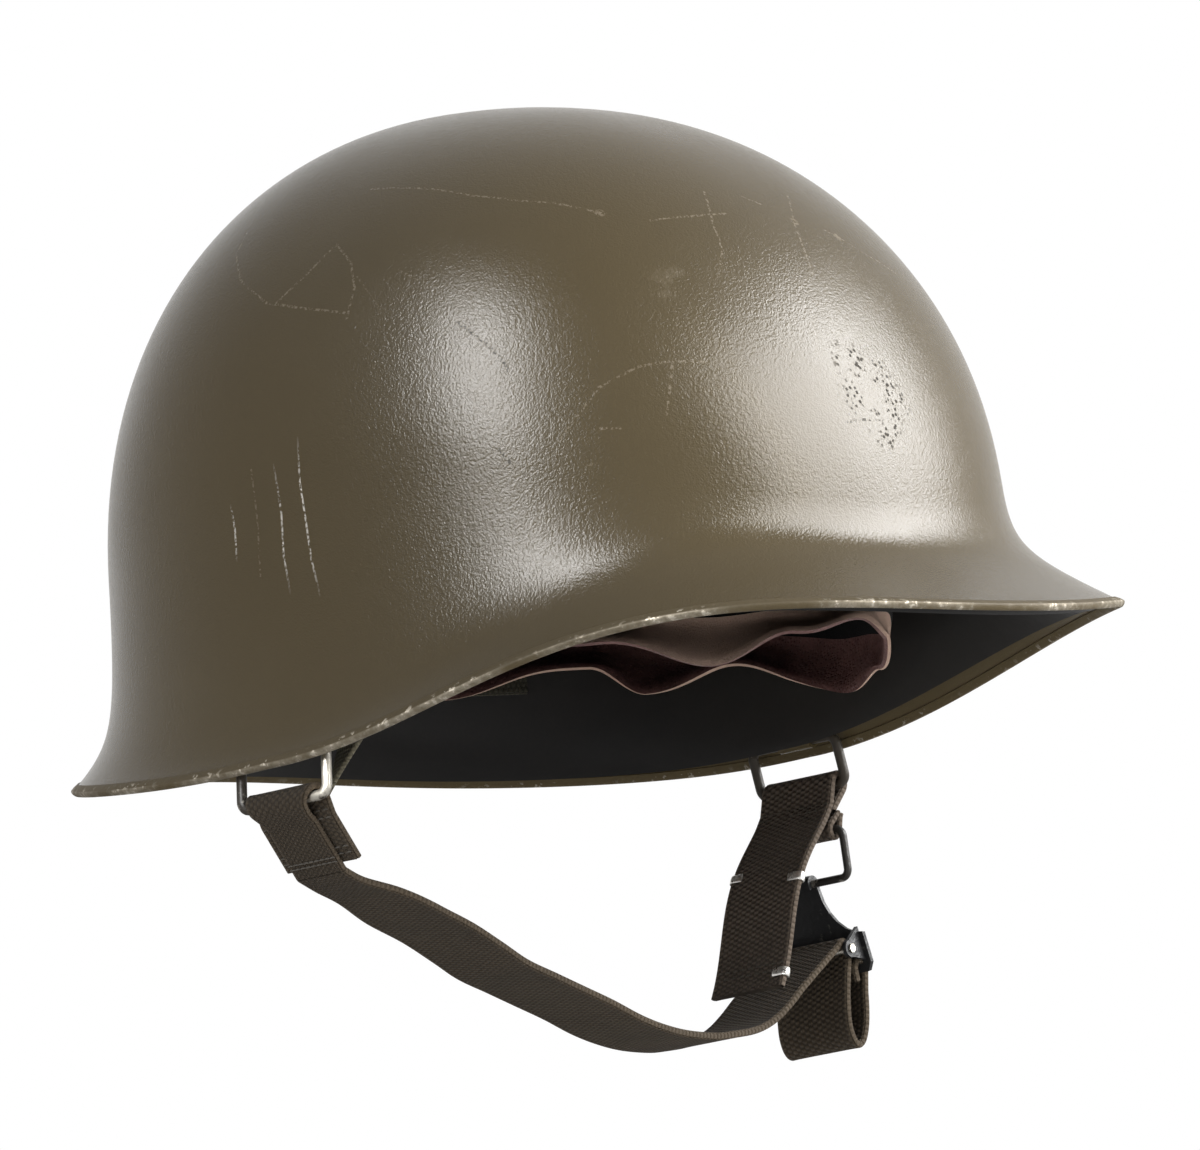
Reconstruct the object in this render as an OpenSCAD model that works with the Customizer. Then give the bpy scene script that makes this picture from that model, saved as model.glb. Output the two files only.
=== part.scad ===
// Steel pot helmet: a pressed steel shell with wire bails and a webbing chin strap,
// and a separate liner with its webbing suspension and leather sweatband.
// -Y is the visor, +X the wearer's left and +Z up. The origin is the centre of
// the head opening, at the level of the rim.

/* [Steel shell] */
// Half the width of the dome across the ears
shell_half_width = 109.8; // [104:0.2:116]
// Room from the head band to the outside of the forehead wall
forehead_room = 10; // [8.5:0.5:14]
// Room from the head band to the outside of the nape wall
nape_room = 15; // [13:0.5:20]
// Height of the crown over the origin
crown_height = 177; // [168:0.5:186]
// How far the crown sits behind the origin
crown_set_back = 5.3; // [0:0.1:9]
// Thickness of the pressed steel
steel_wall = 1.1; // [0.9:0.05:1.3]
// Height where the forehead wall starts to turn out into the visor
brow_height = 62.4; // [58:0.2:66]
// Height where the wall over the ears starts to turn out
temple_height = 79.6; // [74:0.2:84]
// Height where the nape wall starts to turn out
nape_height = 39.6; // [36:0.2:43]
// Overhang of the visor past the forehead wall
visor_flare = 34; // [30:0.5:37]
// Overhang of the rim over the ears
side_flare = 7.4; // [6.6:0.1:9]
// Overhang of the nape guard
nape_flare = 15.3; // [13:0.1:18]

/* [Rim] */
// Mean height of the rim
rim_mean = 13; // [10:0.2:15]
// How much the visor end of the rim stands over the nape end, halved
rim_pitch = 17.3; // [15:0.1:19]
// How much both ends stand over the sides, halved
rim_saddle = 7.9; // [6:0.1:9]
// Flattening of the rim at the visor
rim_brow = 2.9; // [2:0.1:4]
// Drop of the rim behind the ears
rim_ear = 2.3; // [1.5:0.1:3]
// Fine bend of the rim beside the visor
rim_cheek = 1.2; // [0.6:0.1:1.8]
// Depth of the edging that is crimped over the rim
edging_lip = 2.6; // [2:0.1:4]
// Thickness of the edging strip
edging_wall = 0.5; // [0.4:0.05:0.7]

/* [Liner] */
// Thickness of the liner shell
liner_wall = 2; // [1.6:0.1:2.4]
// Gap to the steel at the visor and the nape
liner_end_gap = 1.2; // [1:0.1:1.8]
// Gap to the steel over the ears, where the bails hang
liner_side_gap = 3; // [2.8:0.1:3.6]
// Gap to the steel at the crown
liner_crown_gap = 0.3; // [0.3:0.05:0.6]
// Half the width of the head band
head_half_width = 80; // [76:0.5:83]
// Half the length of the head band
head_half_length = 99; // [93:0.5:101]
// Width of the suspension webbing
suspension_width = 22; // [18:0.5:24]
// Thickness of the suspension webbing
suspension_thick = 1.4; // [1.1:0.1:1.6]
// Room between the liner's crown and the lowest crown strap
crown_strap_drop = 25.6; // [22:0.4:34]
// Thickness of the sweatband leather
sweatband_thick = 1.8; // [1.4:0.1:2.2]

/* [Bails] */
// Diameter of the bail wire
bail_wire = 2.8; // [2.4:0.1:3]
// Width of a bail between the middles of its legs
bail_width = 29; // [28.6:0.2:32]
// Drop of a bail from its pivot to its lower bar
bail_drop = 13.4; // [12.6:0.1:15]
// How far the bails sit behind the origin
bail_set_back = 1.8; // [-2:0.1:6]
// How far the bails lean out, in degrees
bail_lean = 10; // [6:0.5:12]

/* [Chin strap] */
// Width of the strap webbing
strap_width = 25; // [22:0.2:25.2]
// Thickness of the strap webbing
strap_thick = 1.8; // [1.5:0.05:1.9]
// How far the strap hangs under the origin
strap_drop = 75.3; // [75:0.5:90]
// Length of the tail behind the right fold
strap_tail = 22; // [18:0.5:24]
// Length of the cheek flap from the left bail
flap_length = 63; // [54:0.5:66]
// Height of the release ring between its bars
ring_height = 13.6; // [12:0.1:15]
// Wire of the release ring
ring_wire = 2.2; // [1.8:0.1:2.4]
// Thickness of the hook plate
plate_thick = 1.2; // [1:0.05:1.4]
// Drop of the spare strap loop under the buckle bar
loop_drop = 26; // [22:0.5:36]

/* [Hidden] */

// How far the forehead wall and the nape wall stand from the origin
shell_front_reach = head_half_length + forehead_room;
shell_rear_reach = head_half_length + nape_room;

// Facets round the dome, and rings down its crown and its skirt
seg = 64;
crown_rings = 12;
skirt_rings = 11;
// Everything that cuts runs this far past what it cuts
overrun = 1;

// Form of the pressing: powers of the plan and of the profile, angles of the rim, all in degrees
plan_power = 2.25;
brow_power = 2.3;
temple_power = 2.15;
nape_power = 2.08;
brow_splay_share = 0.141;
brow_fade = 2.28;
nape_fade = 1.6;
visor_angle = 23.9;
temple_angle = 50.2;
nape_angle = 43.6;
skirt_weight = 2;
nudge_share = 0.004;

// The liner's own skirt: its overhang stops short of the steel's, and its edge sits inside the rim
liner_visor_short = 4;
liner_nape_short = 4.4;
liner_side_flare = 0.5;
liner_visor_lift = -0.2;
liner_side_lift = 2.4;
liner_nape_lift = 1.3;

// Suspension: heights of its anchors and bands
anchor_height = 88;
anchor_reach = 9;
strap_standoff = 2.4;
band_below_anchor = 12;
band_height = 20;
band_top = anchor_height - band_below_anchor;
band_bottom = band_top - band_height;
strap_stack_gap = 0.8;
web_clearance = 0.2;
rivet_d = 4;
rivet_head_d = 8;
rivet_head = 0.6;
washer_thick = 0.9;
washer_gap = 0.7;
washer_height = 16;
washer_top = 11;
hanger_end = 1.6;
crown_rise_shares = [0.2, 0.4, 0.6, 0.8];
anchors = [30, 90, 150, 210, 270, 330];

// Sweatband: its top seam, its clips, and how far and to which side the leather leans over
sweatband_below_band = 6;
sweatband_top = band_top - sweatband_below_band;
sweatband_lean = 10;
sweatband_side = -52;
// Heights of the fold and of the free edge round the head, as the angle from the visor and a share of the top
sweatband_fold_shares = [
    [-180, 0.45], [-120, 0.47], [-60, 0.49], [-31, 0.45], [-12, 0.47], [4, 0.54], [18, 0.45], [35, 0.37],
    [52, 0.38], [77, 0.43], [96, 0.4], [110, 0.47], [135, 0.49], [160, 0.44], [180, 0.45]
];
sweatband_foot_shares = [
    [-180, 0.35], [-120, 0.33], [-90, 0.41], [-52, 0.43], [-33, 0.31], [-16, 0.43], [4, 0.46], [20, 0.4],
    [39, 0.29], [53, 0.23], [85, 0.37], [103, 0.3], [114, 0.42], [145, 0.33], [180, 0.35]
];
sweatband_inset = 2.6;
clip_count = 12;
clip_wire = 1.4;
clip_height = 9;

// Nape strap and side strap
nape_strap_height = 24;
nape_strap_gap = 0.9;
nape_strap_rise = 31;
nape_angle_share = 0.72;
nape_bow_share = 0.8;
side_strap_width = 14;
side_strap_thick = 1.3;
side_strap_drop = 9;
stud_d = 11;
stud_head = 1.2;

// Bails and their brackets
bail_corner = 2.6;
bail_tilt = 6;
bracket_width = 11;
bracket_sheet = 0.9;
edging_gap = 0.05;
bracket_height_share = 0.24;
bracket_seat_share = 0.865;
weld_gap = 0.4;
pivot_clearance = 0.1;

// Folds of the webbing round a bail
fold_clearance = 0.4;
fold_throat = 7;
right_leg_angle = 50;
left_leg_angle = 61;
layer_gap = 0.06;
fold_steps = 14;

// Release tab, ring, hook plate and buckle
tab_thick = 1.5;
tab_start = 7.2;
tab_length = 12.4;
stub_length = 8;
tab_clearance = 0.3;
ring_corner = 2.4;
ring_width = 28.6;
hook_width = 11;
hook_clearance = 0.12;
plate_width = 32;
plate_shoulder = 15;
plate_corner = 2.4;
plate_lean = 14;
plate_length = 27;
cheek_gap = 26.6;
buckle_inset = 5.6;
buckle_down = 19;
buckle_bar_d = 2.4;
bar_clearance = 0.05;
slot_height = 3;
slot_margin = 2.4;
slot_width = 26.4;
loop_width = 8;
end_fold_r = 2.4;
end_tail = 3;
clip_reach = 4;
clip_length = 3;
clip_sheet = 0.5;
flap_clip_place_shares = [[1, 0.45], [-1, 0.5], [-1, 0.93]];

// Shares of the strap's fall from the right fold to its lowest point, as [across, down]
fall_shares = [
    [0.05, 0.06], [0.13, 0.13], [0.22, 0.24], [0.31, 0.34], [0.39, 0.45], [0.46, 0.55], [0.54, 0.63],
    [0.62, 0.71], [0.70, 0.79], [0.78, 0.88], [0.85, 0.94], [0.92, 0.98], [1, 1]
];
// Shares of its rise from there to the buckle, as [across, up]
rise_shares = [
    [0.14, 0.01], [0.29, 0.04], [0.40, 0.10], [0.50, 0.20],
    [0.60, 0.35], [0.69, 0.51], [0.79, 0.67], [0.89, 0.83]
];
lowest_share = 0.45;
// Shares of the spare loop under the buckle bar, as [across, down]
loop_shares = [
    [-0.06, 0.14], [-0.18, 0.36], [-0.25, 0.6], [-0.2, 0.8], [0, 0.94], [0.28, 1],
    [0.56, 0.95], [0.75, 0.8], [0.82, 0.62], [0.82, 0.45]
];

// A run of numbers, points and vectors
function unit(v) = v / norm(v);
function signed_pow(v, e) = sign(v) * pow(abs(v), e);
function reversed(list) = [for (i = [len(list) - 1 : -1 : 0]) list[i]];
function mixed(a, b, share) = a + (b - a) * share;

// A value that runs from the visor over the ears to the nape
function round_head(a, front, side, rear, fade = 2) =
    side + ((cos(a) > 0 ? front : rear) - side) * pow(abs(cos(a)), fade);

// Height of the steel's rim at the angle a from the visor
function rim_height(a) =
    rim_mean + rim_pitch * cos(a) + rim_saddle * cos(2 * a) - rim_brow * cos(3 * a)
    - rim_ear * cos(4 * a) - rim_cheek * cos(5 * a);

// The layers: 0 is the outside of the steel, 1 the outside of the liner
function end_reach(a) = cos(a) > 0 ? shell_front_reach : shell_rear_reach;
function plan_out(a) = unit([sin(a) / shell_half_width, -cos(a) / end_reach(a)]);
function inset(a, layer) =
    layer * (steel_wall + round_head(a, liner_end_gap, liner_side_gap, liner_end_gap));
function plan(a, layer) =
    [shell_half_width * signed_pow(sin(a), 2 / plan_power),
     -end_reach(a) * signed_pow(cos(a), 2 / plan_power)]
    - plan_out(a) * inset(a, layer);
function top_z(layer) = crown_height - layer * (steel_wall + liner_crown_gap);
function turn_z(a) = cos(a) > 0
    ? round_head(a, brow_height, temple_height, nape_height, brow_fade)
    : round_head(a, brow_height, temple_height, nape_height);
function profile_power(a) = round_head(a, brow_power, temple_power, nape_power);
function splay(a) = round_head(a, brow_splay_share, 0, 0);
function steel_flare(a) = cos(a) > 0
    ? round_head(a, visor_flare, side_flare, nape_flare)
    : round_head(a, visor_flare, side_flare, nape_flare, nape_fade);
function liner_flare(a) = cos(a) > 0
    ? round_head(a, visor_flare - liner_visor_short, liner_side_flare, nape_flare)
    : round_head(a, visor_flare, liner_side_flare, nape_flare - liner_nape_short, nape_fade);
function flare(a, layer) = layer == 0 ? steel_flare(a) : liner_flare(a);
function rim_angle(a) = round_head(a, visor_angle, temple_angle, nape_angle);
function edge_z(a, layer) =
    rim_height(a) + layer * round_head(a, liner_visor_lift, liner_side_lift, liner_nape_lift);

// The crown, from its top at u = 0 to where the skirt starts at u = 1
function crown_point(a, u, layer) =
    let (n = profile_power(a), rho = pow(sin(90 * u), 2 / n), h = pow(cos(90 * u), 2 / n),
         z = mixed(turn_z(a), top_z(layer), h), out = splay(a) * (top_z(layer) - z) * rho * rho,
         p = plan(a, layer) * rho + plan_out(a) * out)
    [p.x, p.y + crown_set_back * (1 - rho), z];

// The skirt, from u = 1 to the rim at u = 2: a weighted curve that turns out to the rim
function skirt_point(a, u, layer) =
    let (t = u - 1, f = flare(a, layer), z0 = turn_z(a), z2 = edge_z(a, layer),
         z1 = z2 + f * tan(rim_angle(a)), out0 = splay(a) * (top_z(layer) - z0),
         out1 = out0 + splay(a) * (z0 - z1), b0 = (1 - t) * (1 - t), b1 = 2 * skirt_weight * t * (1 - t),
         b2 = t * t, sum = b0 + b1 + b2,
         z = (b0 * z0 + b1 * z1 + b2 * z2) / sum, out = (b0 * out0 + b1 * out1 + b2 * (out1 + f)) / sum,
         p = plan(a, layer) + plan_out(a) * out)
    [p.x, p.y, z];
function skin(a, u, layer) = u <= 1 ? crown_point(a, u, layer) : skirt_point(a, u, layer);
function skin_out(a, u, layer) = u <= nudge_share ? [0, 0, 1] : unit(cross(
    skin(a, min(u + nudge_share, 2), layer) - skin(a, u - nudge_share, layer),
    skin(a + 1, u, layer) - skin(a - 1, u, layer)));
function inside(a, u, layer, depth) = skin(a, u, layer) - skin_out(a, u, layer) * depth;

// Where a height lies on the crown of a layer
function crown_u(a, z, layer) =
    acos(pow(max(z - turn_z(a), 0) / (top_z(layer) - turn_z(a)), profile_power(a) / 2)) / 90;
// Where the edging's lip starts
function lip_u(a) = 2 - edging_lip * cos(rim_angle(a)) / (2 * skirt_weight * steel_flare(a));
function ring_u(i, a) = i <= crown_rings ? i / crown_rings
    : i < crown_rings + skirt_rings ? 1 + (i - crown_rings) / (skirt_rings - 1) * (lip_u(a) - 1) : 2;

// Triangles between neighbouring rings of points, from the row first to the row last
function between_rings(first, last, n, base, flip) = [
    for (r = [first : last - 1], s = [0 : n - 1], half = [0, 1])
        let (s1 = (s + 1) % n, ul = base + r * n + s, ur = base + r * n + s1,
             lr = base + (r + 1) * n + s1, ll = base + (r + 1) * n + s,
             tri = half == 0 ? [ul, ur, lr] : [ul, lr, ll])
        flip ? reversed(tri) : tri
];

// A closed shell: a layer's outer skin, the same skin drawn in by its wall, and the edge that joins them
module pressed_shell(layer, wall) {
    rings = crown_rings + skirt_rings;
    angles = [for (s = [0 : seg - 1]) 360 * s / seg];
    outer = [for (i = [1 : rings], a = angles) skin(a, ring_u(i, a), layer)];
    inner = [for (i = [1 : rings], a = angles) inside(a, ring_u(i, a), layer, wall)];
    top = [0, crown_set_back, top_z(layer)];
    half = rings * seg;
    last = (rings - 1) * seg;
    caps = [for (s = [0 : seg - 1]) let (s1 = (s + 1) % seg)
        each [[2 * half, s1, s], [2 * half + 1, half + s, half + s1]]];
    edge = [for (s = [0 : seg - 1]) let (s1 = (s + 1) % seg)
        each [[last + s, last + s1, half + last + s1], [last + s, half + last + s1, half + last + s]]];
    polyhedron(
        points = concat(outer, inner, [top, top - [0, 0, wall]]),
        faces = concat(
            between_rings(0, rings - 1, seg, 0, false), between_rings(0, rings - 1, seg, half, true),
                       caps, edge));
}

// Lays a drawing of x and z on its side and gives it a width along Y
module across(width) {
    rotate([90, 0, 0])
        linear_extrude(height = width, center = true)
            children();
}

// A strip of webbing or sheet: a path with a thickness to both sides
function path_out(path, i) =
    let (d = unit(path[min(i + 1, len(path) - 1)] - path[max(i - 1, 0)])) [-d.y, d.x];
function strip(path, thick) = concat(
    [for (i = [0 : len(path) - 1]) path[i] + path_out(path, i) * thick / 2],
    reversed([for (i = [0 : len(path) - 1]) path[i] - path_out(path, i) * thick / 2]));
function arc(centre, r, from, to, steps) =
    [for (i = [0 : steps]) let (t = mixed(from, to, i / steps)) centre + r * [cos(t), sin(t)]];
// A curve through points chosen by hand, with two more between each pair
function curve_at(p0, p1, p2, p3, t) =
    0.5 * (2 * p1 + (p2 - p0) * t + (2 * p0 - 5 * p1 + 4 * p2 - p3) * t * t
           + (3 * p1 - p0 - 3 * p2 + p3) * t * t * t);
function curve(points, parts = 3) = [
    for (i = [0 : len(points) - 2], k = [0 : parts - 1])
        curve_at(points[max(i - 1, 0)], points[i], points[i + 1],
                 points[min(i + 2, len(points) - 1)], k / parts),
    points[len(points) - 1]
];

// A closed frame of wire that hangs from the middle of its upper bar
module wire_frame(width, height, corner, wire) {
    for (side = [-1, 1])
        translate([0, side * width / 2, corner - height])
            cylinder(d = wire, h = height - 2 * corner, $fn = 24);
    for (z = [0, -height])
        translate([0, width / 2 - corner, z])
            rotate([90, 0, 0])
                cylinder(d = wire, h = width - 2 * corner, $fn = 24);
    for (quarter = [0 : 3])
        translate([0, (quarter == 0 || quarter == 1 ? 1 : -1) * (width / 2 - corner),
                   quarter == 1 || quarter == 2 ? -corner : corner - height])
            rotate([0, 90, 0])
                rotate([0, 0, 90 * quarter])
                    rotate_extrude(angle = 90, $fn = 48)
                        translate([corner, 0])
                            circle(d = wire, $fn = 24);
}

// The bail's pivot hangs one bracket's thickness inside the steel over the ear
bracket_r = bail_wire / 2 + pivot_clearance + bracket_sheet;
bail_seat = inside(90, 1 + bracket_seat_share, 0, steel_wall + weld_gap + bracket_r);
bail_pivot = [bail_seat.x, bail_set_back, bail_seat.z];
// Middle of the bail's lower bar.
// This and all that hangs from it is drawn from the front, down from the pivots
bar = [bail_pivot.x + bail_drop * sin(bail_lean), -bail_drop * cos(bail_lean)];
fold_r = bail_wire / 2 + fold_clearance + strap_thick / 2;
layer_half = (strap_thick + layer_gap) / 2;

// Wire and sheet that hangs from the pivots stands square to them, with its middle under them at the height z
module square_to_pivots(z = 0) {
    translate([0, bail_set_back, bail_pivot.z])
        rotate([-bail_tilt, 0, 0])
            translate([0, -z * tan(bail_tilt), 0])
                children();
}
// Webbing hangs straight down, and only its width follows the pivots
module hung_from_pivots() {
    translate([0, bail_set_back, bail_pivot.z])
        multmatrix([[1, 0, 0, 0], [0, 1, 0, 0], [0, -tan(bail_tilt), 1 / cos(bail_tilt), 0]])
            children();
}

module bail() {
    square_to_pivots(bar.y)
        translate([bail_pivot.x, 0, 0])
            rotate([0, -bail_lean, 0])
                wire_frame(bail_width, bail_drop, bail_corner, bail_wire);
}

// A strip of sheet that is bent round the bail's upper bar and welded up the inside of the steel
module bail_bracket() {
    faces = [for (i = [0 : 4])
        let (p = inside(90, 1 + bracket_seat_share - bracket_height_share * i / 4, 0, steel_wall + weld_gap))
        [p.x - bail_pivot.x, p.z - bail_pivot.z]];
    backs = [for (p = faces) p - [bracket_sheet, 0]];
    square_to_pivots()
        translate([bail_pivot.x, 0, 0])
            across(bracket_width)
                difference() {
                    union() {
                        circle(r = bracket_r, $fn = 48);
                        polygon(concat(faces, reversed(backs)));
                    }
                    circle(r = bail_wire / 2 + pivot_clearance, $fn = 48);
                }
}

// Chin strap: tail, fold round the right bail, fall, rise, turn over the buckle bar, and spare loop
right_bar = [-bar.x, bar.y];
right_leg = [cos(right_leg_angle), -sin(right_leg_angle)];
right_side = [-right_leg.y, right_leg.x];
left_leg = [-cos(left_leg_angle), -sin(left_leg_angle)];
left_side = [-left_leg.y, left_leg.x];
tab_off = strap_thick + 2 * layer_gap + tab_thick;
ring_top = bar + left_leg * tab_length + left_side * tab_off;
ring_bottom = ring_top - [0, ring_height];
plate_dir = [sin(plate_lean), -cos(plate_lean)];
plate_in = [-cos(plate_lean), -sin(plate_lean)];
hook_r = ring_wire / 2 + hook_clearance + plate_thick / 2;
plate_top = ring_bottom - plate_in * hook_r;
buckle = ring_bottom + plate_dir * buckle_down + plate_in * (buckle_inset - hook_r);
turn_r = buckle_bar_d / 2 + web_clearance + strap_thick / 2;
plate_foot = plate_top + plate_dir * plate_length;
plate_slot = plate_foot - plate_dir * (slot_margin + slot_height / 2);
plate_level = (buckle.y + plate_slot.y) / 2;
run_start = right_bar + right_leg * (strap_tail + fold_throat / 4) - right_side * layer_half;
lowest = [bar.x * lowest_share, -(strap_drop + bail_pivot.z) * cos(bail_tilt)];
run_end = buckle + turn_r * [cos(150), sin(150)];

function fold(centre, leg, side, inner_end, outer_end) = let (angle = atan2(side.y, side.x)) concat(
    [centre + leg * inner_end + side * layer_half, centre + leg * fold_throat + side * layer_half],
    arc(centre, fold_r, angle - 18, angle + 198, fold_steps),
    [centre + leg * fold_throat - side * layer_half, centre + leg * outer_end - side * layer_half]);

module chin_strap() {
    fall = [for (s = fall_shares) [mixed(run_start.x, lowest.x, s.x), mixed(run_start.y, lowest.y, s.y)]];
    rise = [for (s = rise_shares) [mixed(lowest.x, run_end.x, s.x), mixed(lowest.y, run_end.y, s.y)]];
    loop = [for (s = loop_shares) buckle + [turn_r + loop_width * s.x, -loop_drop * s.y]];
    run = curve(concat([run_start], fall, rise, [run_end]));
    end_bar = plate_top + plate_dir * (plate_length - slot_margin / 2);
    path = concat(fold(right_bar, right_leg, right_side, strap_tail, strap_tail), run,
                  arc(buckle, turn_r, 130, 0, 6), curve(loop),
                  arc(end_bar, end_fold_r, plate_lean - 30, 180 + plate_lean, 9),
                  [end_bar + plate_in * end_fold_r + plate_dir * end_tail]);
    color("#4a4336")
        hung_from_pivots()
            across(strap_width)
                polygon(strip(path, strap_thick));
}

// Left side: the flap folds over the bail and hangs inside the cheek
module cheek_flap() {
    color("#4f4739")
        hung_from_pivots()
            across(strap_width)
                polygon(strip(fold(bar, left_leg, left_side, stub_length, flap_length), strap_thick));
}

// The tab is sewn outside the flap, and its loop holds the release ring
module release_tab() {
    half = (tab_thick + layer_gap) / 2;
    r = ring_wire / 2 + tab_clearance + tab_thick / 2;
    angle = atan2(left_side.y, left_side.x);
    start = bar + left_leg * tab_start + left_side * tab_off;
    throat = ring_top - left_leg * (2 * r);
    path = concat([start + left_side * half, throat + left_side * half],
                  arc(ring_top, r, angle + 18, angle - 198, fold_steps),
                  [throat - left_side * half, start - left_side * half]);
    color("#4f4739")
        hung_from_pivots()
            across(strap_width)
                polygon(strip(path, tab_thick));
}

// Bent sheet clips over the edges of the flap
module flap_clips() {
    color("#c9c4b8")
        hung_from_pivots()
            for (place = flap_clip_place_shares) {
                mid = bar + left_leg * place[1] * flap_length - left_side * layer_half;
                translate([mid.x, place[0] * (strap_width + web_clearance - clip_reach) / 2, mid.y])
                    rotate([0, 90 - left_leg_angle, 0])
                        difference() {
                            translate([0, place[0] * clip_sheet, 0])
                                cube([strap_thick + 2 * clip_sheet + layer_gap, clip_reach, clip_length],
                                     center = true);
                            cube([strap_thick + layer_gap, clip_reach, clip_length + overrun], center = true);
                        }
            }
}

module release_ring() {
    color("#b9b5ab")
        square_to_pivots(ring_top.y)
            translate([ring_top.x, 0, ring_top.y])
                wire_frame(ring_width, ring_height, ring_corner, ring_wire);
}

// Black plate: a hook over the ring's lower bar, shoulders, two cheeks for the bar,
// and a slot for the strap's end
module hook_plate() {
    angle = atan2(-plate_in.y, -plate_in.x);
    path = concat(arc(ring_bottom, hook_r, angle + 215, angle, fold_steps), [plate_foot]);
    shoulder = ring_bottom.y - plate_shoulder;
    waist = ring_bottom.y - hook_r;
    boss = buckle_bar_d / 2 + plate_thick;
    cheek_top = plate_top + plate_dir * (buckle_down - 2 * boss);
    cheek_foot = plate_top + plate_dir * (buckle_down + 2 * boss);
    flank = [for (t = [0 : 15 : 90])
        [mixed(hook_width, plate_width, 1 - cos(t)) / 2, mixed(waist, shoulder, sin(t))]];
    edge = concat([[hook_width / 2, ring_bottom.y + 2 * hook_r]], flank,
                  [[plate_width / 2, plate_foot.y + plate_corner],
                   [plate_width / 2 - plate_corner, plate_foot.y - plate_thick]]);
    color("#2b2a28")
        square_to_pivots(plate_level) {
            difference() {
                intersection() {
                    across(plate_width)
                        polygon(strip(path, plate_thick));
                    translate([ring_bottom.x, 0, 0])
                        rotate([90, 0, 90])
                            linear_extrude(height = 2 * plate_width, center = true)
                                polygon(concat(edge, reversed([for (p = edge) [-p.x, p.y]])));
                }
                translate([plate_slot.x, 0, plate_slot.y])
                    rotate([0, plate_lean - 180, 0])
                        cube([2 * plate_thick + overrun, slot_width, slot_height], center = true);
            }
            for (side = [-1, 1])
                translate([0, side * (cheek_gap + plate_thick) / 2, 0])
                    across(plate_thick)
                        difference() {
                            union() {
                                translate(buckle)
                                    circle(r = boss, $fn = 32);
                                polygon([cheek_top, cheek_foot,
                                         buckle + plate_dir * boss, buckle - plate_dir * boss]);
                            }
                            translate(buckle)
                                circle(d = buckle_bar_d + 2 * bar_clearance, $fn = 32);
                        }
        }
}

module buckle_bar() {
    color("#c4bfb4")
        square_to_pivots(plate_level)
            translate([buckle.x, 0, buckle.y])
                rotate([90, 0, 0])
                    cylinder(d = buckle_bar_d, h = cheek_gap + 3 * plate_thick, center = true, $fn = 32);
}

// Anchors of the suspension on the liner's inner wall
function anchor_at(a, z, depth) =
    let (p = inside(a, crown_u(a, z, 1), 1, liner_wall + depth)) [p.x, p.y, p.z + min(0, z - turn_z(a))];
function strap_way(a) =
    let (near = anchor_at(a, anchor_height, 0), far = anchor_at(a + 180, anchor_height, 0))
    unit([near.x - far.x, near.y - far.y]);
// Square to the crown strap and to the slope of the wall, a depth inside the wall, with Z pointing out
module on_anchor(a, depth) {
    out = skin_out(a, crown_u(a, anchor_height, 1), 1);
    way = strap_way(a);
    spot = anchor_at(a, anchor_height, 0);
    translate(spot)
        rotate([0, 90 - asin(out.z), atan2(way.y, way.x)])
            translate([0, 0, -depth])
                children();
}
anchor_depth = strap_standoff + suspension_thick + washer_gap;

module rivet_holes(clearance) {
    for (a = anchors)
        on_anchor(a, anchor_depth + washer_thick + overrun)
            cylinder(d = rivet_d + 2 * clearance, h = anchor_depth + washer_thick + liner_wall + 3 * overrun,
                     $fn = 24);
}

module liner_shell() {
    color("#26272a")
        difference() {
            pressed_shell(1, liner_wall);
            rivet_holes(bar_clearance);
        }
}

module liner_rivets() {
    stack = anchor_depth + washer_thick + liner_wall + 2 * web_clearance;
    color("#3c3a30")
        for (a = anchors)
            on_anchor(a, anchor_depth + washer_thick + web_clearance) {
                translate([0, 0, -rivet_head])
                    cylinder(d = rivet_d + 2 * rivet_head, h = rivet_head, $fn = 32);
                cylinder(d = rivet_d, h = stack, $fn = 24);
                translate([0, 0, stack])
                    cylinder(d = rivet_head_d, h = rivet_head, $fn = 32);
            }
}

// A-shaped plates that clamp the webbing to the wall
module a_washers() {
    color("#4a4a46")
        for (a = anchors)
            on_anchor(a, anchor_depth + washer_thick)
                difference() {
                    linear_extrude(height = washer_thick)
                        polygon([
                            [washer_height / 2, -suspension_width / 2],
                            [washer_height / 2, suspension_width / 2],
                            [-washer_height / 2, washer_top / 2], [-washer_height / 2, -washer_top / 2]
                        ]);
                    translate([0, 0, -overrun])
                        cylinder(d = rivet_d + 2 * bar_clearance, h = washer_thick + 2 * overrun, $fn = 24);
                }
}

// A crown strap from one anchor over the head to the opposite one. It lies against the wall at its ends, and
// the room between them grows to the drop at the crown
module crown_strap(a, level) {
    near = anchor_at(a, anchor_height, 0);
    far = anchor_at(a + 180, anchor_height, 0);
    way = strap_way(a);
    depth = strap_standoff + suspension_thick / 2;
    drop = crown_strap_drop - level * (suspension_thick + strap_stack_gap);
    function along(p) = [([p.x, p.y] - [far.x, far.y]) * way, p.z];
    function end_at(b) =
        [for (dz = [-anchor_reach, 0, anchor_reach]) along(anchor_at(b, anchor_height + dz, depth))];
    function rise(b) = let (low = crown_u(b, anchor_height + anchor_reach, 1))
        [for (s = crown_rise_shares)
            along(inside(b, low * (1 - s), 1, liner_wall + mixed(depth, drop, sin(90 * s))))];
    crown = along([0, crown_set_back, top_z(1) - liner_wall - drop]);
    path = concat(end_at(a + 180), rise(a + 180), [crown], reversed(rise(a)), reversed(end_at(a)));
    color("#56583f")
        difference() {
            translate([far.x, far.y, 0])
                rotate([0, 0, atan2(way.y, way.x)])
                    across(suspension_width)
                        polygon(strip(curve(path, 2), suspension_thick));
            rivet_holes(bar_clearance);
        }
}

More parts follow.
